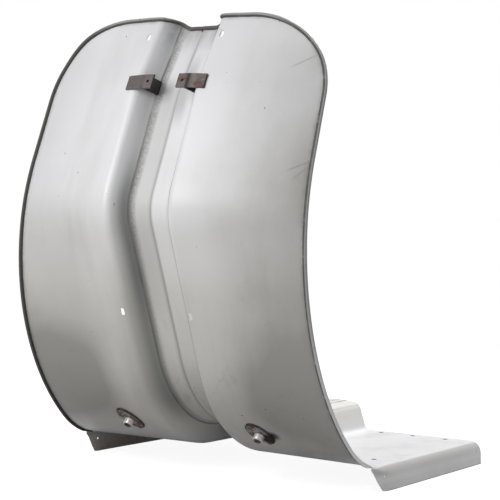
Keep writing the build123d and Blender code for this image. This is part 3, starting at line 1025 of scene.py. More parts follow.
        # Painted shade on the channel's floor and on the left shoulder.
        trough = x.within(self.trough_x) * z.within(self.trough_height)
        shoulder = x.within(self.shoulder_x) * z.within(self.shoulder_height)
        grubby = x.within(self.grubby_x) * z.step(0.615, 0.665)
        grubby = grubby * graph.noise(45.0, 6.0).step(0.35, 0.65)
        colour = graph.mix(wall.least(1.0), colour, self.film_and_shade)
        colour = graph.mix(trough * 0.4, colour, self.stain_and_shade)
        colour = graph.mix(shoulder * 0.22, colour, self.film_and_shade)
        return graph.mix(grubby * 0.4, colour, self.film_and_shade)

    def floor(self, colour: bpy.types.NodeSocket) -> bpy.types.NodeSocket:
        """Stain the floor and the lip's foot, and paint shade round the lip's bend.

        Args:
            colour: The paint so far.

        Returns:
            The new colour.
        """
        graph = self.graph
        brown = graph.noise(13.0, 7.0).step(0.5, 0.75) * graph.z.size().step(0.008, 0.004)
        # Painted shade round the lip's bend.
        roll = graph.reach.step(*self.lip_bend) * graph.z.within(self.roll_height)
        colour = graph.mix(brown * 0.3, colour, self.brown)
        colour = graph.mix(self.foot * 0.1, colour, self.stain_and_shade)
        return graph.mix(roll * 0.55, colour, self.stain_and_shade)

    def hollows(self) -> Term:
        """Mask of dirt in the channel's corner and on the pitted band beside it, and of painted
        shade along the right shoulder's fold.

        Returns:
            The mask, above the floor only.
        """
        x, z, reach = self.graph.x, self.graph.z, self.graph.reach
        own = x.step(0.01, -0.01) * 0.7 + 0.3
        broken = self.graph.noise(38.0, 6.0, (1.0, 0.4, 0.4)).step(0.3, 0.68)
        line = reach.within(self.corner_line) * (broken * 0.6 + 0.4)
        pitted = self.graph.noise(330.0, 3.0).step(0.35, 0.6) * 0.6 + 0.4
        band = reach.within(self.corner_band) * pitted * (z.step(0.28, 0.4) * 0.4 + 0.25)
        # Painted shade: a dark line along the right shoulder's fold.
        edge = reach.within(self.shoulder_line) * x.step(-0.01, 0.01)
        edge = edge * (z.step(0.52, 0.38) * 0.35 + 0.2)
        return (line * own).most(band * own).most(edge) * z.step(0.004, 0.02)

    def dirt_and_shade(self) -> Term:
        """Mask of dirt and painted shade beside the rim and in the hollows, of the seam, and of
        darkening along the lip's lower brink.

        Returns:
            The mask.
        """
        graph = self.graph
        rim = graph.value("rim")
        # Dirt and painted shade in the crease beside the rim.
        crevice = rim.step(13.0, 1.0) ** 1.6 * graph.noise(46.0, 5.0).step(0.22, 0.75)
        runs = graph.noise(70.0, 6.0, (1.0, 0.12, 0.12)).step(0.3, 0.75)
        notch = rim.step(55.0, 4.0) * graph.reach.step(0.054, 0.040) * (runs * 0.6 + 0.3)
        patch = graph.x.within(self.patch_x) * graph.z.within(self.patch_height)
        seam = graph.value("seam").most(patch * 0.55)
        smudge = graph.noise(15.0, 8.0).step(0.58, 0.78) * self.low
        brink = graph.reach.step(*self.lip_face) * graph.z.step(*self.brink_height)
        dirt_and_shade = (crevice.most(notch) * 0.6).most(self.hollows() * 0.85).most(seam * 0.6)
        return dirt_and_shade.most(smudge * 0.4).most(brink * 0.85)

    def build(self, half: "PanelHalf") -> bpy.types.Material:
        """Make the material from the sheet's stored values, its place and noise.

        Args:
            half: A pressing, for the places of its holes.

        Returns:
            The material.
        """
        graph, worn = self.graph, self.darkening_share()
        base = graph.mix(graph.z.within(self.warm_height), self.paint, self.warm)
        colour = graph.mix(worn.least(1.0), base, self.stain_and_shade)
        colour = self.floor(self.channel(colour))
        dirt_and_shade, crease = self.dirt_and_shade(), self.crease()
        hair = (graph.noise(16.0, 2.0) - 0.5).size().step(0.005, 0.001)
        hair = hair * graph.noise(7.0, 2.0).step(0.6, 0.68) * self.low
        # Dirt with painted shade by the rim, in the hollows and at the right shoulder's fold; then
        # hairlines and the dents' lines.
        for mask in (dirt_and_shade, hair * 0.4, crease * 0.3):
            colour = graph.mix(mask, colour, self.grime)
        grease = self.spot(self.black_patch_centre).step(0.016, 0.006)
        colour = graph.mix(grease * 0.95, colour, self.grease)
        chips = graph.noise(95.0, 2.0).step(0.75, 0.775) * 0.7
        # Rust chips, and painted shade round the floor's holes.
        colour = graph.mix(chips.most(self.hole_shade(half) * 0.9), colour, self.rust)
        under = graph.value("under")
        rusty = graph.mix(graph.noise(40.0, 7.0).step(0.48, 0.72) * 0.5, self.under, self.rust)
        graph.set(
            Base_Color=graph.mix(under, colour, rusty),
            Roughness=0.36 + dirt_and_shade * 0.3 + worn * 0.2 + under * 0.3,
        )
        relief = graph.noise(6.0, 2.0) + graph.noise(150.0, 2.0) * 0.01
        graph.bump(relief + self.foot * 0.08 - crease * 0.08, 0.2, 0.006)
        return graph.material


@dataclass(frozen=True)
class RimPaint:
    """Worn paint on the rolled rim, with painted shade and grime on its outer and inner sides and
    all along the left wing, and painted light along the right wing.
    """

    paint: Colour = (0.36, 0.355, 0.345)
    # Painted light: the rim's colour along the right wing.
    bright: Colour = (0.74, 0.74, 0.74)
    # Grime, and painted shade on the curl's sides and along the left wing.
    grime: Colour = (0.05, 0.048, 0.042)
    # Worn crest of the left wing's rim, lighter as a painted highlight.
    worn: Colour = (0.12, 0.118, 0.108)
    crest: Span = (165.0, 190.0, 200.0, 225.0)

    def build(self) -> bpy.types.Material:
        """Make the material from the place round the roll and noise.

        Returns:
            The material.
        """
        graph = Graph("rim_paint")
        turn = graph.value("turn")
        patch = graph.noise(55.0, 6.0)
        # Painted shade with grime on the curl's inner and outer sides.
        inner = turn.step(185.0, 225.0).most(turn.step(155.0, 185.0) * graph.x.step(0.13, 0.2))
        outer = turn.step(125.0, 85.0)
        # Painted shade with grime all along the left wing's rim, its crest lighter as a painted
        # highlight.
        left = graph.x.step(-0.13, -0.2)
        # Painted light: the rim lighter along the right wing, most low down.
        right = graph.x.step(0.16, 0.25) * (graph.z.step(0.26, 0.12) * 0.65 + 0.35)
        crest = turn.within(self.crest)
        lit_rim = graph.mix(right, self.paint, self.bright)
        colour = graph.mix(left, lit_rim, graph.mix(crest, self.grime, self.worn))
        dark = inner.most(outer * (0.7 - right * 0.6)) * patch.step(0.1, 0.5)
        chips = graph.noise(120.0, 3.0).step(0.64, 0.72)
        # Painted shade on the rim over the channel.
        notch = graph.reach.step(0.060, 0.040) * 0.8
        colour = graph.mix((dark * 0.9).most(chips * 0.8).most(notch), colour, self.grime)
        graph.set(Base_Color=colour, Roughness=0.45 + dark * 0.3)
        graph.bump(patch, 0.2, 0.001)
        return graph.material


@dataclass(frozen=True)
class RustySteel:
    """Bare steel with a skin of dark rust."""

    name: str
    steel: Colour = (0.20, 0.18, 0.17)
    rust: Colour = (0.13, 0.075, 0.065)
    # Pits, and painted shade on the bracket's web and nut.
    pit_and_shade: Colour = (0.014, 0.011, 0.011)

    def build(self) -> bpy.types.Material:
        """Make the material from noise at two scales and the stored dark mask: the strap's ends and
        fold, and the web and nut as painted shade.

        Returns:
            The material.
        """
        graph = Graph(self.name)
        cloud = graph.noise(70.0, 6.0)
        grain = graph.noise(600.0, 4.0)
        rust = cloud.step(0.42, 0.66) * (graph.x.step(-0.02, 0.02) * 0.7 + 0.3)
        colour = graph.mix(rust, self.steel, self.rust)
        dark_marks = (grain.step(0.55, 0.7) * 0.6).most(graph.value("dark") * 0.9)
        colour = graph.mix(dark_marks, colour, self.pit_and_shade)
        graph.set(Base_Color=colour, Roughness=0.5 + rust * 0.3, Metallic=0.55 - rust * 0.45)
        graph.bump(grain + cloud, 0.35, 0.0006)
        return graph.material


@dataclass(frozen=True)
class FlangeSteel:
    """Worn paint on the flange, rusted through in patches, with a dark edge and a near-black patch.
    """

    paint: Colour = (0.42, 0.40, 0.385)
    rust: Colour = (0.16, 0.085, 0.075)
    dark: Colour = (0.02, 0.016, 0.014)

    def build(self) -> bpy.types.Material:
        """Make the material from the place on the plate and noise.

        Returns:
            The material.
        """
        graph = Graph("flange_steel")
        patch = graph.noise(110.0, 5.0)
        grain = graph.noise(500.0, 4.0)
        edge = graph.value("edge").step(0.8, 0.97)
        rust = patch.step(0.44, 0.6)
        colour = graph.mix(rust, self.paint, self.rust)
        dark_marks = patch.step(0.62, 0.7).most(edge * 0.85).most(graph.value("grease"))
        colour = graph.mix(dark_marks, colour, self.dark)
        graph.set(Base_Color=colour, Roughness=0.55 + rust * 0.25, Metallic=0.15 - rust * 0.1)
        graph.bump(grain + patch, 0.3, 0.0006)
        return graph.material


@dataclass(frozen=True)
class WornPlating:
    """Bright plating with dull patches."""

    bright: Colour = (0.93, 0.925, 0.90)
    dull: Colour = (0.42, 0.37, 0.34)

    def build(self) -> bpy.types.Material:
        """Make the material from patches and a fine grain.

        Returns:
            The material.
        """
        graph = Graph("sleeve_plating")
        patch = graph.noise(160.0, 5.0).step(0.5, 0.72)
        graph.set(
            Base_Color=graph.mix(patch * 0.7, self.bright, self.dull),
            Metallic=0.45 - patch * 0.3,
            Roughness=0.28 + patch * 0.35,
        )
        graph.bump(graph.noise(900.0, 2.0), 0.1, 0.0004)
        return graph.material


def dress(piece: bpy.types.Object, material: bpy.types.Material) -> None:
    """Give a piece its material and slot, and let it ride on the body.

    Args:
        piece: The piece.
        material: Its finish.
    """
    piece.data.materials.clear()
    piece.data.materials.append(material)
    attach(piece, BODY)
    log.info("%s: %d faces", piece.name, len(piece.data.polygons))


@dataclass
class PanelHalf:
    """One pressing: its side of the channel, wing, floor, lip and rolled rim."""

    side: Side
    lip_outset: float = 7.7
    lip_front_outset: float = 1.7
    lip_depth: float = 38.0
    lip_draft: float = 3.0
    lip_radius: float = 20.0
    lip_front_radius: float = 4.0
    lip_front_y: float = -29.0
    lip_front_level: float = 36.5
    lip_slant: float = 41.0
    lip_corner: float = 15.0
    lip_start: float = 398.0
    floor_rows: int = 48
    shin_rows: int = 92
    wing_columns: int = 34
    corner_rows: tuple[int, int] = (34, 16)
    top_points: int = 250
    lip_points: int = 22
    column_runs: tuple[tuple[float, float, int], ...] = (
        (0.0, 20.0, 6), (22.0, 46.5, 22), (47.5, 51.0, 4), (52.0, 66.0, 18)
    )
    first_width: float = 265.0
    top_run: float = 75.0
    rim_far: float = 60.0
    seam_widths: Pair = (4.0, 6.0)
    under_levels: Pair = (24.0, 36.0)
    curl: Pair = (-32.0, 277.0)
    curl_points: int = 26
    curl_sheet: float = 0.9
    curl_lead: float = 14.0
    curl_run_in: float = 24.0
    sharp: float = 40.0
    curl_sharp: float = 50.0
    slot_size: Pair = (12.0, 6.5)
    slots: tuple[Pair, ...] = ((68.2, 1167.0), (63.0, 704.0))
    floor_hole: float = 8.0
    floor_holes: tuple[Pair, ...] = (
        (98.0, 345.0), (161.0, 345.0), (224.0, 345.0), (236.5, 51.5)
    )
    lip_hole: float = 4.0
    lip_hole_level: float = 24.0
    lip_hole_y: Pair = (342.0, 4.0)
    drill_reach: Place = (8.0, 12.0, 9.0)

    @property
    def lip_x(self) -> float:
        """Outer face of the lip's foot."""
        return float(FORM.side_x(np.array(FORM.floor_level))) + self.lip_outset

    def lip_section(self, station: Array) -> tuple[Array, Array, Array]:
        """Lip's corner across each station.

        Args:
            station: Lengths along the ridge.

        Returns:
            X of the sharp corner, depth of the sharp corner and the rounding's radius.
        """
        front = ease(station, FORM.ridge_runs[0][0], self.lip_start)
        x = self.lip_x + (self.lip_front_outset - self.lip_outset) * front - FORM.sheet
        x = x - math.tan(math.radians(self.lip_draft)) * self.lip_depth
        radius = self.lip_radius + (self.lip_front_radius - self.lip_radius) * front
        return x, FORM.depth(station, x, self.side.extra), radius

    def rows(self) -> tuple[Array, Array, Array]:
        """Stations of the grid's rows and where each row ends.

        The floor's rows end where the lip's rounding starts, the shin's on the straight side, and
        the top rows on the outline's round corner, so that they close up towards the crown.

        Returns:
            Station, end in X and share of the top's own shape for each row.
        """
        inset = FORM.bead_radius
        floor = np.linspace(0.0, self.lip_start, self.floor_rows)
        corner_x, _, radius = self.lip_section(floor)
        half = math.radians(90.0 - self.lip_draft) / 2.0
        floor_x = corner_x - radius * math.tan(half)
        lean = 90.0 - FORM.side_flare
        turn = np.linspace(lean, FORM.top_turn, self.corner_rows[0])
        turn = np.append(turn, np.linspace(FORM.top_turn, 0.0, self.corner_rows[1])[1:])
        round_x, round_z = FORM.corner_point(inset, turn)
        top = FORM.station_at(round_x, round_z, self.side.extra)
        shin = np.linspace(self.lip_start, top[0], self.shin_rows)[1:-1]
        shin_x = np.full_like(shin, self.first_width)
        for _ in range(6):
            _, z, heading = FORM.ridge.at(shin)
            level = z + FORM.depth(shin, shin_x, self.side.extra) * np.cos(heading)
            shin_x = FORM.side_x(level) - inset / math.cos(math.radians(FORM.side_flare))
        station = np.concatenate((floor, shin, top))
        end = np.concatenate((floor_x, shin_x, round_x))
        return station, end, ease(station, top[-1] - self.top_run, top[-1])

    def columns(self) -> Array:
        """X of the grid's fixed columns, from the seam over the channel to the shoulder."""
        lap = np.linspace(-FORM.lap_width, 0.0, 4)[:-1] if self.side is Side.LEFT else np.empty(0)
        return np.concatenate((lap, *(np.linspace(*run) for run in self.column_runs)))

    def face(self) -> tuple[Array, Array, Array, Array]:
        """Front face of the pressing as one grid, and its values.

        Returns:
            Points of the drawing, normals to the rear, X before mirroring and distance inside the
            rim.
        """
        station, end, share = self.rows()
        fixed = self.columns()
        u = np.linspace(0.0, 1.0, self.wing_columns)[1:]
        wing = fixed[-1] + (end[:, None] - fixed[-1]) * u
        x = np.concatenate((np.broadcast_to(fixed, (len(end), len(fixed))), wing), axis=1)
        probe = np.linspace(fixed[0], FORM.crown_x, self.top_points)
        lap_level = FORM.notch_level - 2.0 * FORM.bead_radius
        level = np.where(probe < -TINY, lap_level, FORM.top_z(probe))
        ends = FORM.station_at(probe, level - FORM.bead_radius, self.side.extra)
        shift = np.interp(x, probe, ends) - station[-1]
        along = station[:, None] + share[:, None] * shift
        points = FORM.place(along, x, FORM.depth(along, x, self.side.extra))
        top_gap = np.abs(along - along[-1:])
        inside = np.minimum(end[:, None] - x, top_gap)
        rim = np.where(station[:, None] > self.lip_start, inside, self.rim_far)
        return points, FORM.rear(along, x, self.side.extra), x, rim

    def lip_foot(self, y: Array) -> Array:
        """Level of the lip's lower edge: a slanted line in front, an arc and the level foot.

        Args:
            y: Places along the scooter.

        Returns:
            The level at each place.
        """
        slant = math.radians(self.lip_slant)
        foot_y = self.lip_front_y + self.lip_front_level * math.tan(slant)
        turn = math.pi / 2.0 - slant
        reach = self.lip_corner * math.tan(turn / 2.0)
        line = (foot_y - y) / math.tan(slant)
        sway = np.clip((foot_y + reach - y) / self.lip_corner, 0.0, math.sin(turn))
        arc = self.lip_corner * (1.0 - np.sqrt(1.0 - sway**2))
        on_line = y < foot_y - reach * math.cos(turn)
        return np.minimum(np.where(on_line, line, arc), self.lip_front_level)

    def lip(self, station: Array) -> Array:
        """Front face of the lip: its rounding and wall, shortened where the front end slants.

        Args:
            station: Stations of its rows.

        Returns:
            Points of the drawing, as row and place down the lip.
        """
        x, n, radius = (part[:, None] for part in self.lip_section(station))
        draft = math.radians(self.lip_draft)
        turn = math.radians(90.0 - self.lip_draft)
        reach = radius * math.tan(turn / 2.0)
        arc = radius * turn
        wall = self.lip_depth / math.cos(draft) - reach
        share = np.linspace(0.0, 1.0, self.lip_points)[None]

        def shape(run: Array) -> tuple[Array, Array]:
            """Follow the lip, first round the arc and then down the wall.

            Args:
                run: Lengths down the lip.

            Returns:
                X and depth at each length.
            """
            angle = np.clip(run / radius, 0.0, turn)
            past = np.clip(run - arc, 0.0, None)
            across = x - reach + radius * np.sin(angle) + past * math.sin(draft)
            return across, n - radius * (1.0 - np.cos(angle)) - past * math.cos(draft)

        y, z, heading = (part[:, None] for part in FORM.ridge.at(station))
        level = self.lip_foot(y)

        def below(run: Array) -> Array:
            """Whether the lip has come down to its lower edge."""
            return z + shape(run)[1] * np.cos(heading) < level

        full = halve(np.zeros_like(arc), arc + wall, below)
        across, depth = shape(full * share)
        return FORM.place(np.broadcast_to(station[:, None], across.shape), across, depth)

    def sheet(self) -> Shell:
        """The pressing as a closed sheet: front face, rear face a sheet behind it, and its edges.

        Returns:
            The shell, with its distance inside the rim, its seam and its rusty lip as values.
        """
        shell = Shell()
        front, rear, x, rim = self.face()
        station = self.rows()[0]
        on_lip = station <= self.lip_start
        lip_rows = int(on_lip.sum())
        lip = self.lip(station[on_lip])
        back = front + FORM.sheet * rear
        joined = np.concatenate((front[:lip_rows, -3:-1], lip), axis=1)
        lip_back = lip + FORM.sheet * grid_normals(joined)[:, 2:]
        lip_back[:, 0] = back[:lip_rows, -1]
        width = self.side.pick(self.seam_widths)
        values = {"rim": rim, "seam": 1.0 - ease(np.abs(x), 0.0, width)}
        a = shell.add_grid(front, under=0.0, **values)
        b = shell.add_grid(back, True, under=0.0, **values)
        values = {"rim": self.rim_far, "seam": 0.0}
        c = shell.add_grid(lip, under=1.0 - ease(lip[..., 2], *self.under_levels), **values)
        d = shell.add_grid(lip_back, True, under=0.0, **values)
        above = slice(lip_rows - 1, None)
        shell.bridge((
            (a[0], b[0]), (a[-1], b[-1]), (a[:, 0], b[:, 0]), (a[above, -1], b[above, -1]),
            (c[0], d[0]), (c[-1], d[-1]), (c[:, -1], d[:, -1]),
        ))
        return shell

    def rim(self) -> Shell:
        """The rolled rim: an open curl carried along the edge of the front face.

        The curl is an arc of the sheet's thickness that starts behind the sheet, turns outwards
        and round the front, and stops just short of the front face.

        Returns:
            The shell, with the place round the curl in degrees as a value.
        """
        points, normals, x, _ = self.face()
        station = self.rows()[0]
        first = int(np.searchsorted(station, self.lip_start - self.curl_lead))
        start = int(np.searchsorted(x[-1], 0.0))
        path = np.concatenate((points[first:-1, -1], points[-1, start:][::-1]))
        rear = np.concatenate((normals[first:-1, -1], normals[-1, start:][::-1]))
        out = unit(np.cross(rear, np.gradient(path, axis=0)))
        rear = unit(np.cross(np.gradient(path, axis=0), out))
        turn = np.radians(np.linspace(*self.curl, self.curl_points))
        radius = FORM.bead_radius
        size = np.repeat((radius, radius - self.curl_sheet * FORM.sheet), self.curl_points)
        angle = np.concatenate((turn, turn[::-1]))
        centre = radius - FORM.bead_ahead
        run = np.concatenate(((0.0,), np.cumsum(np.linalg.norm(np.diff(path, axis=0), axis=1))))
        share = (0.5 + 0.5 * ease(run, 0.0, self.curl_run_in))[:, None]
        rings = (
            path[:, None]
            + out[:, None] * (share * size * np.sin(angle))[..., None]
            + rear[:, None] * (share * (centre + size * np.cos(angle)))[..., None]
        )
        shell = Shell()
        shell.add_tube(rings, turn=np.broadcast_to(np.degrees(angle), rings.shape[:-1]))
        return shell

    def drills(self) -> Shell:
        """Prisms for the slots beside the channel and the holes in floor and lip.

        Returns:
            The shell of all the prisms.
        """
        shell = Shell()
        slot_reach, floor_reach, lip_reach = self.drill_reach
        for x, station in self.slots:
            s, across = np.array(station), np.array(x)
            spot = FORM.place(s, across, FORM.depth(s, across, self.side.extra))
            shell.add_tube(prism(spot, *FORM.axes(station), *self.slot_size, slot_reach))
        size = self.floor_hole
        for x, y in self.floor_holes:
            spot = np.array((x, y, FORM.floor_level))
            shell.add_tube(prism(spot, ACROSS, UPWARD, size, size, floor_reach))
        size = self.lip_hole
        for y in self.lip_hole_y:
            spot = np.array((self.lip_x, y, self.lip_hole_level))
            shell.add_tube(prism(spot, UPWARD, ACROSS, size, size, lip_reach))
        return shell

    def build(self, paint: bpy.types.Material, rim_paint: bpy.types.Material) -> None:
        """Make the sheet and its rolled rim, and dress them.

        Args:
            paint: The sheet's finish.
            rim_paint: The rim's finish.
        """
        side = self.side
        panel = self.sheet().mirror(side).mesh(f"{side.word}_panel", self.sharp)
        cut(panel, self.drills().mirror(side), self.sharp)
        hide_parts(f"{side.word}_half")
        dress(panel, paint)
        rim = self.rim().mirror(side).mesh(f"{side.word}_rolled_rim", self.curl_sharp)
        dress(rim, rim_paint)


@dataclass
class UpperBracket:
    """Cranked strap across the shoulder, with a web back to the channel's corner."""

    side: Side
    station: float = 1079.0
    height: float = 23.5
    thickness: float = 3.0
    inner_x: float = 23.0
    bend_x: float = 45.0
    outer_x: float = 72.0
    hole_x: float = 32.0
    hole: float = 5.0
    web_x: float = 36.0
    web_rise: float = 9.0
    web_gap: float = 0.02
    gap: float = 0.2
    bend_radius: float = 7.0
    nut: float = 9.0
    nut_height: float = 5.0
    nut_gap: float = 0.05
    pilot: Pair = (41.4, -9.0)
    pilot_hole: float = 2.2
    drill_reach: Pair = (12.0, 6.0)
    edge_round: float = 0.5
    rows: int = 12
    run_points: int = 12
    bend_points: int = 9
    web_points: int = 14
    end_dirt: float = 1.5
    fold_shift: float = 3.0
    fold_dirt: Pair = (1.5, 4.5)
    fold_dark: Pair = (0.9, 0.2)

    def seat(self) -> tuple[float, float]:
        """Depth of the strap's back at its bend and at its outer end.

        Returns:
            Both depths, a gap clear of the wing.
        """
        probe = np.array((FORM.shoulder_x + FORM.shoulder_radius / 2.0, self.outer_x))
        depth = FORM.depth(np.full(2, self.station), probe, self.side.extra) - self.gap
        slope = (depth[1] - depth[0]) / (probe[1] - probe[0])
        return float(depth[1] - slope * (self.outer_x - self.bend_x)), float(depth[1])

    def levels(self) -> Array:
        """Distances along the ridge of the rows of strap and web."""
        return np.linspace(-self.height / 2.0, self.height / 2.0, self.rows)

    def carry(self, line: Array, offset: float, height: Array, rise: Array | float = 0.0) -> Array:
        """Carry a run of X and depth along the ridge, offset square to itself.

        Args:
            line: X and depth of each point of the run.
            offset: Distance to the front.
            height: Distances along the ridge.
            rise: Further distance along the ridge at each point of the run.

        Returns:
            Points of the drawing, as height and place along the run.
        """
        tangent = unit(np.gradient(line, axis=0))
        moved = line + offset * np.stack((tangent[:, 1], -tangent[:, 0]), axis=-1)
        base = FORM.place(np.full(len(line), self.station), moved[:, 0], moved[:, 1])
        return base[None] + (height[:, None] + rise)[..., None] * FORM.axes(self.station)[0]

    def strap_line(self) -> Array:
        """Back of the strap: level, a soft bend by a quadratic curve, then down the wing.

        Returns:
            X and depth of each point.
        """
        bend_n, outer_n = self.seat()
        slope = (outer_n - bend_n) / (self.outer_x - self.bend_x)
        u = np.linspace(0.0, 1.0, self.bend_points)
        x = self.bend_x + self.bend_radius * (2.0 * u - 1.0)
        level = np.linspace(self.inner_x, x[0], self.run_points)[:-1]
        wing = np.linspace(x[-1], self.outer_x, self.run_points)[1:]
        bent = bend_n + slope * self.bend_radius * u**2
        down = outer_n - slope * (self.outer_x - wing)
        depth = np.concatenate((np.full_like(level, bend_n), bent, down))
        return np.stack((np.concatenate((level, x, wing)), depth), axis=-1)

    def strap(self, shell: Shell) -> None:
        """Add the strap, with its ends and its fold marked dark.

        Args:
            shell: The bracket's shell.
        """
        line, height = self.strap_line(), self.levels()
        ends = np.minimum(line[:, 0] - self.inner_x, self.outer_x - line[:, 0])
        bend_gap = np.abs(line[:, 0] - self.bend_x + self.fold_shift)
        fold = (1.0 - ease(bend_gap, *self.fold_dirt)) * self.side.pick(self.fold_dark)
        dark = np.maximum(1.0 - ease(ends, 0.0, self.end_dirt), fold)
        front, back = self.carry(line, self.thickness, height), self.carry(line, 0.0, height)
        shell.add_slab(front, back, dark=np.broadcast_to(dark, (self.rows, len(line))))

    def web(self, shell: Shell) -> None:
        """Add the web from the strap's back to the channel's corner, rising on the way, dark all
        over as painted shade.

        Args:
            shell: The bracket's shell.
        """
        foot_x = np.array(self.web_x + self.thickness)
        deep = float(FORM.depth(np.array(self.station), foot_x, self.side.extra)) - self.gap
        n = np.linspace(self.seat()[0] + self.web_gap, deep, self.web_points)
        line = np.stack((np.full_like(n, self.web_x), n), axis=-1)
        rise = self.web_rise * (n - n[0]) / (n[-1] - n[0])
        near, far = (self.carry(line, d, self.levels(), rise) for d in (0.0, self.thickness))
        # Painted shade: the whole web is dark.
        shell.add_slab(near, far, dark=1.0)

    def build(self, steel: bpy.types.Material) -> None:
        """Make strap, web and nut, drill the strap and dress them as one piece.

        Args:
            steel: The bracket's finish.
        """
        shell, drill = Shell(), Shell()
        self.strap(shell)
        self.web(shell)
        level = self.seat()[0]
        through = FORM.axes(self.station)[1]
        spot = FORM.place(np.array(self.station), np.array(self.hole_x), np.array(level))
        r, low, high = self.nut / 2.0, self.nut_gap, self.nut_height
        nut = ((HUB, low), (r, low), (r, high), (HUB, high))
        # Painted shade: a dark nut behind the strap's hole, so the hole looks dark.
        shell.add_tube(lathe(np.array(nut), spot, through, 6), dark=1.0)
        piece = shell.mirror(self.side).mesh(f"{self.side.word}_strap_bracket")
        drill.add_tube(prism(spot, ACROSS, through, self.hole, self.hole, self.drill_reach[0]))
        if self.side is Side.LEFT:
            x, height = self.pilot
            run = np.array(((x, level), (x + 1.0, level)))
            place = self.carry(run, 0.0, np.array((height,)))[0, 0]
            size, reach = self.pilot_hole, self.drill_reach[1]
            drill.add_tube(prism(place, ACROSS, through, size, size, reach))
        cut(piece, drill.mirror(self.side))
        round_edges(piece, self.edge_round)
        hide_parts(f"{self.side.word}_upper_bracket")
        dress(piece, steel)


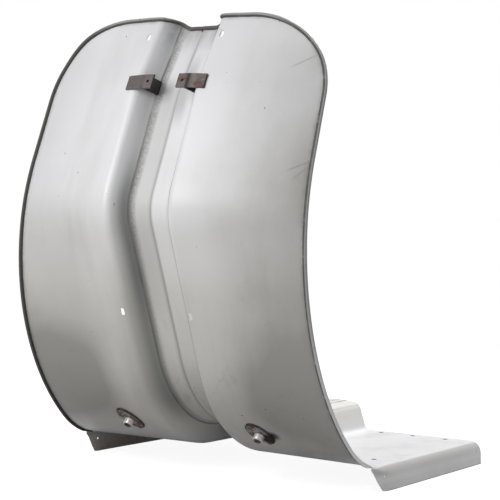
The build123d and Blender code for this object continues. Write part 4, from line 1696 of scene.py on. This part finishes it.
@dataclass
class LowerFixing:
    """Oval flange with a stub tube, a plated sleeve over it and two rivets."""

    side: Side
    x: float = 124.0
    station: float = 489.0
    length: float = 56.0
    width: float = 36.0
    thickness: float = 3.0
    tilt: float = 26.0
    gap: float = 0.2
    stub_diameter: float = 12.5
    stub_bore: float = 6.0
    stub_length: float = 11.0
    stub_lead: float = 0.8
    stub_round: float = 0.7
    sleeve_diameter: float = 16.5
    sleeve_length: float = 9.5
    sleeve_clearance: float = 0.25
    rivet_pitch: float = 43.0
    rivet_head: float = 9.0
    rivet_height: float = 2.4
    rivet_shank: float = 5.0
    rivet_gap: float = 0.05
    tail_gap: float = 0.3
    plate_points: int = 73
    sleeve_points: int = 64
    rivet_points: int = 32
    dome_points: int = 9
    stub_dirt: float = 0.9
    sharp: float = 30.0
    grease: Pair = (13.0, 8.0)
    grease_size: Pair = (9.0, 17.0)
    plate_rings: tuple[float, ...] = (0.19, 0.3, 0.45, 0.6, 0.75, 0.86, 0.93, 0.97, 1.0)
    plate_round: Place = (0.45, 0.84, 1.02)
    # Insets from the sleeve's radius with distances below its top and above its foot.
    sleeve_top: tuple[Pair, ...] = (
        (1.6, 0.0), (0.7, 0.3), (0.15, 0.9), (0.0, 1.7), (0.0, 3.4), (0.4, 3.9)
    )
    sleeve_foot: tuple[Pair, ...] = ((0.4, 2.2), (0.0, 1.6), (0.0, 0.3), (0.3, 0.0))
    # Shares of the head's radius with distances behind the wing.
    rivet_tail: tuple[Pair, ...] = ((0.9, 0.0), (0.9, 0.9), (0.7, 1.2))

    def on_wing(self, along: Array, across: Array, lift: Array) -> Array:
        """Points above the wing, by the flange's own axes.

        Args:
            along: Distances along the flange's long axis.
            across: Distances across it.
            lift: Heights off the wing's front face.

        Returns:
            Points of the drawing.
        """
        sine, cosine = math.sin(math.radians(self.tilt)), math.cos(math.radians(self.tilt))
        x = self.side.value * self.x + along * sine + across * cosine
        station = self.station - along * cosine + across * sine
        return FORM.place(station, x, FORM.depth(station, np.abs(x), self.side.extra) - lift)

    def axes(self, along: float) -> tuple[Array, Array]:
        """Foot point and outward axis at a place along the flange.

        Args:
            along: Distance along the flange's long axis.

        Returns:
            The point on the wing and the unit vector to the front.
        """
        zero = np.zeros(1)
        station = self.station - along * math.cos(math.radians(self.tilt))
        return self.on_wing(zero + along, zero, zero)[0], -FORM.axes(station)[1]

    def flange(self) -> Shell:
        """Oval plate on the wing with a rounded edge, and the stub tube on it.

        Returns:
            The shell, with the place towards the edge and the near-black patch as values.
        """
        turn = np.linspace(0.0, TURN, self.plate_points)
        share = np.array(self.plate_rings)[:, None]
        along = self.length / 2.0 * share * np.cos(turn)
        across = self.width / 2.0 * share * np.sin(turn)
        fall, first, last = self.plate_round
        edge = self.thickness * (1.0 - fall * ease(share, first, last))
        top = self.on_wing(along, across, self.gap + edge * np.ones_like(along))
        base = self.on_wing(along, across, np.full_like(along, self.gap))
        shell = Shell()
        grease = np.zeros_like(along)
        if self.side is Side.RIGHT:
            grease_gap = np.hypot(along - self.grease[0], across - self.grease[1])
            grease = 1.0 - ease(grease_gap, *self.grease_size)
        shell.add_slab(top, base, edge=share + np.zeros_like(along), grease=grease)
        r, bore = self.stub_diameter / 2.0, self.stub_bore / 2.0
        low, high = self.gap, self.gap + self.thickness + self.stub_length
        profile = np.array((
            (bore, low), (bore, high - self.stub_lead), (bore + self.stub_lead, high),
            (r - self.stub_round, high), (r, high - self.stub_round),
            (r, low + self.thickness), (r, low),
        ))
        shell.add_turned(lathe(profile, *self.axes(0.0)), edge=self.stub_dirt, grease=0.0)
        return shell

    def sleeve(self) -> Shell:
        """Plated sleeve with a rounded shoulder and a narrow rolled end.

        Returns:
            The shell.
        """
        low = self.gap + self.thickness + 2.0 * self.sleeve_clearance
        high = low + self.sleeve_length
        r = self.sleeve_diameter / 2.0
        bore = self.stub_diameter / 2.0 + self.sleeve_clearance
        profile = [(bore, low), (bore, high)]
        profile += [(r - inset, high - down) for inset, down in self.sleeve_top]
        profile += [(r - inset, low + up) for inset, up in self.sleeve_foot]
        shell = Shell()
        shell.add_turned(lathe(np.array(profile), *self.axes(0.0), self.sleeve_points))
        return shell

    def rivets(self, shell: Shell) -> None:
        """Add both rivets: a domed head, a shank and a flat tail behind the wing.

        Args:
            shell: The shell of all the rivets.
        """
        r, shank = self.rivet_head / 2.0, self.rivet_shank / 2.0
        front = self.gap + self.thickness + self.rivet_gap
        back = -FORM.sheet - self.tail_gap
        rise = np.linspace(0.0, TURN / 4.0, self.dome_points)
        dome = np.stack((r * np.cos(rise), front + self.rivet_height * np.sin(rise)), axis=-1)[::-1]
        dome[0, 0] = HUB
        stem = [(shank, front), (shank, back)]
        stem += [(share * r, back - down) for share, down in self.rivet_tail]
        stem.append((HUB, stem[-1][1]))
        for along in (-self.rivet_pitch / 2.0, self.rivet_pitch / 2.0):
            rings = lathe(np.concatenate((dome, stem)), *self.axes(along), self.rivet_points)
            shell.add_tube(rings)

    def build(self, steel: bpy.types.Material, plating: bpy.types.Material) -> None:
        """Make flange and sleeve and dress them.

        Args:
            steel: The flange's finish.
            plating: The sleeve's finish.
        """
        flange = self.flange().mesh(f"{self.side.word}_oval_flange")
        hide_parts(f"{self.side.word}_lower_flange")
        dress(flange, steel)
        sleeve = self.sleeve().mesh(f"{self.side.word}_bright_sleeve", self.sharp)
        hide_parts(f"{self.side.word}_lower_sleeve")
        dress(sleeve, plating)


@dataclass(frozen=True)
class PhotoCamera:
    """Camera at the photograph's place and angle, in the drawing's frame."""

    place: Place = (1299.86, -2016.90, 399.83)
    azimuth: float = 32.330
    pitch: float = 0.857
    roll: float = -1.910
    focal_pixels: float = 1463.4
    image_pixels: float = 500.0
    sensor: float = 36.0
    clip: float = 100.0

    def build(self) -> None:
        """Make the camera, looking along its azimuth and pitch and turned by its roll."""
        a, p, r = (math.radians(v) for v in (self.azimuth, self.pitch, self.roll))
        ahead = Vector((-math.sin(a) * math.cos(p), math.cos(a) * math.cos(p), -math.sin(p)))
        right = Vector((math.cos(a), math.sin(a), 0.0))
        down = ahead.cross(right)
        turned = right * math.cos(r) + down * math.sin(r)
        under = down * math.cos(r) - right * math.sin(r)
        data = bpy.data.cameras.new("photo_camera")
        data.sensor_width = self.sensor
        data.lens = self.focal_pixels / self.image_pixels * self.sensor
        data.clip_end = self.clip
        camera = bpy.data.objects.new("photo_camera", data)
        axes = Matrix((turned, -under, -ahead)).transposed().to_4x4()
        spot = FORM.to_row(np.array(self.place))
        camera.matrix_world = Matrix.Translation(Vector(spot)) @ axes
        bpy.context.scene.collection.objects.link(camera)
        bpy.context.scene.camera = camera


@dataclass(frozen=True)
class Studio:
    """Plain pale floor, white surroundings and soft light from the front, above and behind."""

    floor_size: float = 14.0
    floor_grey: float = 0.6
    floor_white: float = 0.92
    floor_shade: float = 0.4
    world_grey: float = 0.22
    lamps: tuple[tuple[str, Place, float, float], ...] = (
        ("near_lamp", (-0.13, -1.3, 0.76), 0.5, 5.0),
        ("top_lamp", (0.2, -1.0, 2.3), 2.4, 6.0),
        ("rear_lamp", (0.08, 0.65, 1.65), 0.7, 36.0),
    )
    target: Place = (0.0, -0.4, 0.3)

    def split_rays(
        self, tree: bpy.types.NodeTree, light: bpy.types.NodeSocket, seen: bpy.types.NodeSocket
    ) -> bpy.types.NodeSocket:
        """Show one shader to the camera and another to all other rays.

        Args:
            tree: The floor's or the world's node tree.
            light: The shader that lights the object.
            seen: The shader in the camera's view.

        Returns:
            The mixed shader.
        """
        path = tree.nodes.new("ShaderNodeLightPath")
        mix = tree.nodes.new("ShaderNodeMixShader")
        tree.links.new(path.outputs["Is Camera Ray"], mix.inputs[0])
        tree.links.new(light, mix.inputs[1])
        tree.links.new(seen, mix.inputs[2])
        return mix.outputs[0]

    def plain(self, tree: bpy.types.NodeTree, kind: str, grey: float) -> bpy.types.NodeSocket:
        """Add a shader of one grey.

        Args:
            tree: The node tree.
            kind: The shader's node type.
            grey: Its grey.

        Returns:
            The shader.
        """
        node = tree.nodes.new(kind)
        node.inputs[0].default_value = (grey, grey, grey, 1.0)
        return node.outputs[0]

    def floor(self) -> None:
        """Make the floor under the lips: white in view, with the shadow left on it."""
        data = bpy.data.meshes.new("studio_floor")
        half = self.floor_size / 2.0
        level = float(FORM.to_row(np.zeros(3))[2])
        corners = np.array(((-half, -half), (half, -half), (half, half), (-half, half)))
        points = np.column_stack((corners, np.full(4, level)))
        data.from_pydata(points.tolist(), [], [(0, 1, 2, 3)])
        floor = bpy.data.objects.new("studio_floor", data)
        bpy.context.scene.collection.objects.link(floor)
        material = bpy.data.materials.new("studio_floor")
        material.use_nodes = True
        tree = material.node_tree
        tree.nodes.clear()
        grey = self.plain(tree, "ShaderNodeBsdfDiffuse", self.floor_grey)
        both = tree.nodes.new("ShaderNodeAddShader")
        tree.links.new(self.plain(tree, "ShaderNodeEmission", self.floor_white), both.inputs[0])
        tree.links.new(self.plain(tree, "ShaderNodeBsdfDiffuse", self.floor_shade), both.inputs[1])
        output = tree.nodes.new("ShaderNodeOutputMaterial")
        tree.links.new(self.split_rays(tree, grey, both.outputs[0]), output.inputs[0])
        data.materials.append(material)

    def world(self) -> None:
        """Make the surroundings: white in view, grey as light."""
        world = bpy.data.worlds.new("studio")
        world.use_nodes = True
        tree = world.node_tree
        tree.nodes.clear()
        grey = self.plain(tree, "ShaderNodeBackground", self.world_grey)
        white = self.plain(tree, "ShaderNodeBackground", 1.0)
        output = tree.nodes.new("ShaderNodeOutputWorld")
        tree.links.new(self.split_rays(tree, grey, white), output.inputs[0])
        bpy.context.scene.world = world

    def lamp(self, name: str, place: Place, size: float, watts: float) -> None:
        """Make one square soft lamp that faces the object.

        Args:
            name: The lamp's name.
            place: Its place in the row's frame.
            size: Its side, in metres.
            watts: Its power.
        """
        data = bpy.data.lights.new(name, "AREA")
        data.energy = watts
        data.size = size
        lamp = bpy.data.objects.new(name, data)
        spot = Vector(place)
        lamp.matrix_world = Matrix.Translation(spot) @ (
            (Vector(self.target) - spot).to_track_quat("-Z", "Y").to_matrix().to_4x4()
        )
        bpy.context.scene.collection.objects.link(lamp)

    def build(self) -> None:
        """Make floor, surroundings and lamps."""
        self.floor()
        self.world()
        for lamp in self.lamps:
            self.lamp(*lamp)
        bpy.context.scene.view_settings.view_transform = "Standard"


def main() -> None:
    """Build the shield, its fittings and the studio."""
    logging.basicConfig(level=logging.INFO, format="%(message)s")
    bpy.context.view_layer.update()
    paint, rim_paint = PanelPaint().build(PanelHalf(Side.RIGHT)), RimPaint().build()
    bracket_steel = RustySteel("bracket_steel").build()
    flange_steel = FlangeSteel().build()
    plating = WornPlating().build()
    rivet_shell = Shell()
    for side in Side:
        PanelHalf(side).build(paint, rim_paint)
        UpperBracket(side).build(bracket_steel)
        fixing = LowerFixing(side)
        fixing.build(flange_steel, plating)
        fixing.rivets(rivet_shell)
    rivets = rivet_shell.mesh("dome_rivets", LowerFixing.sharp)
    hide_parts("flange_rivets")
    dress(rivets, RustySteel("rivet_steel").build())
    PhotoCamera().build()
    Studio().build()


if __name__ == "__main__":
    main()
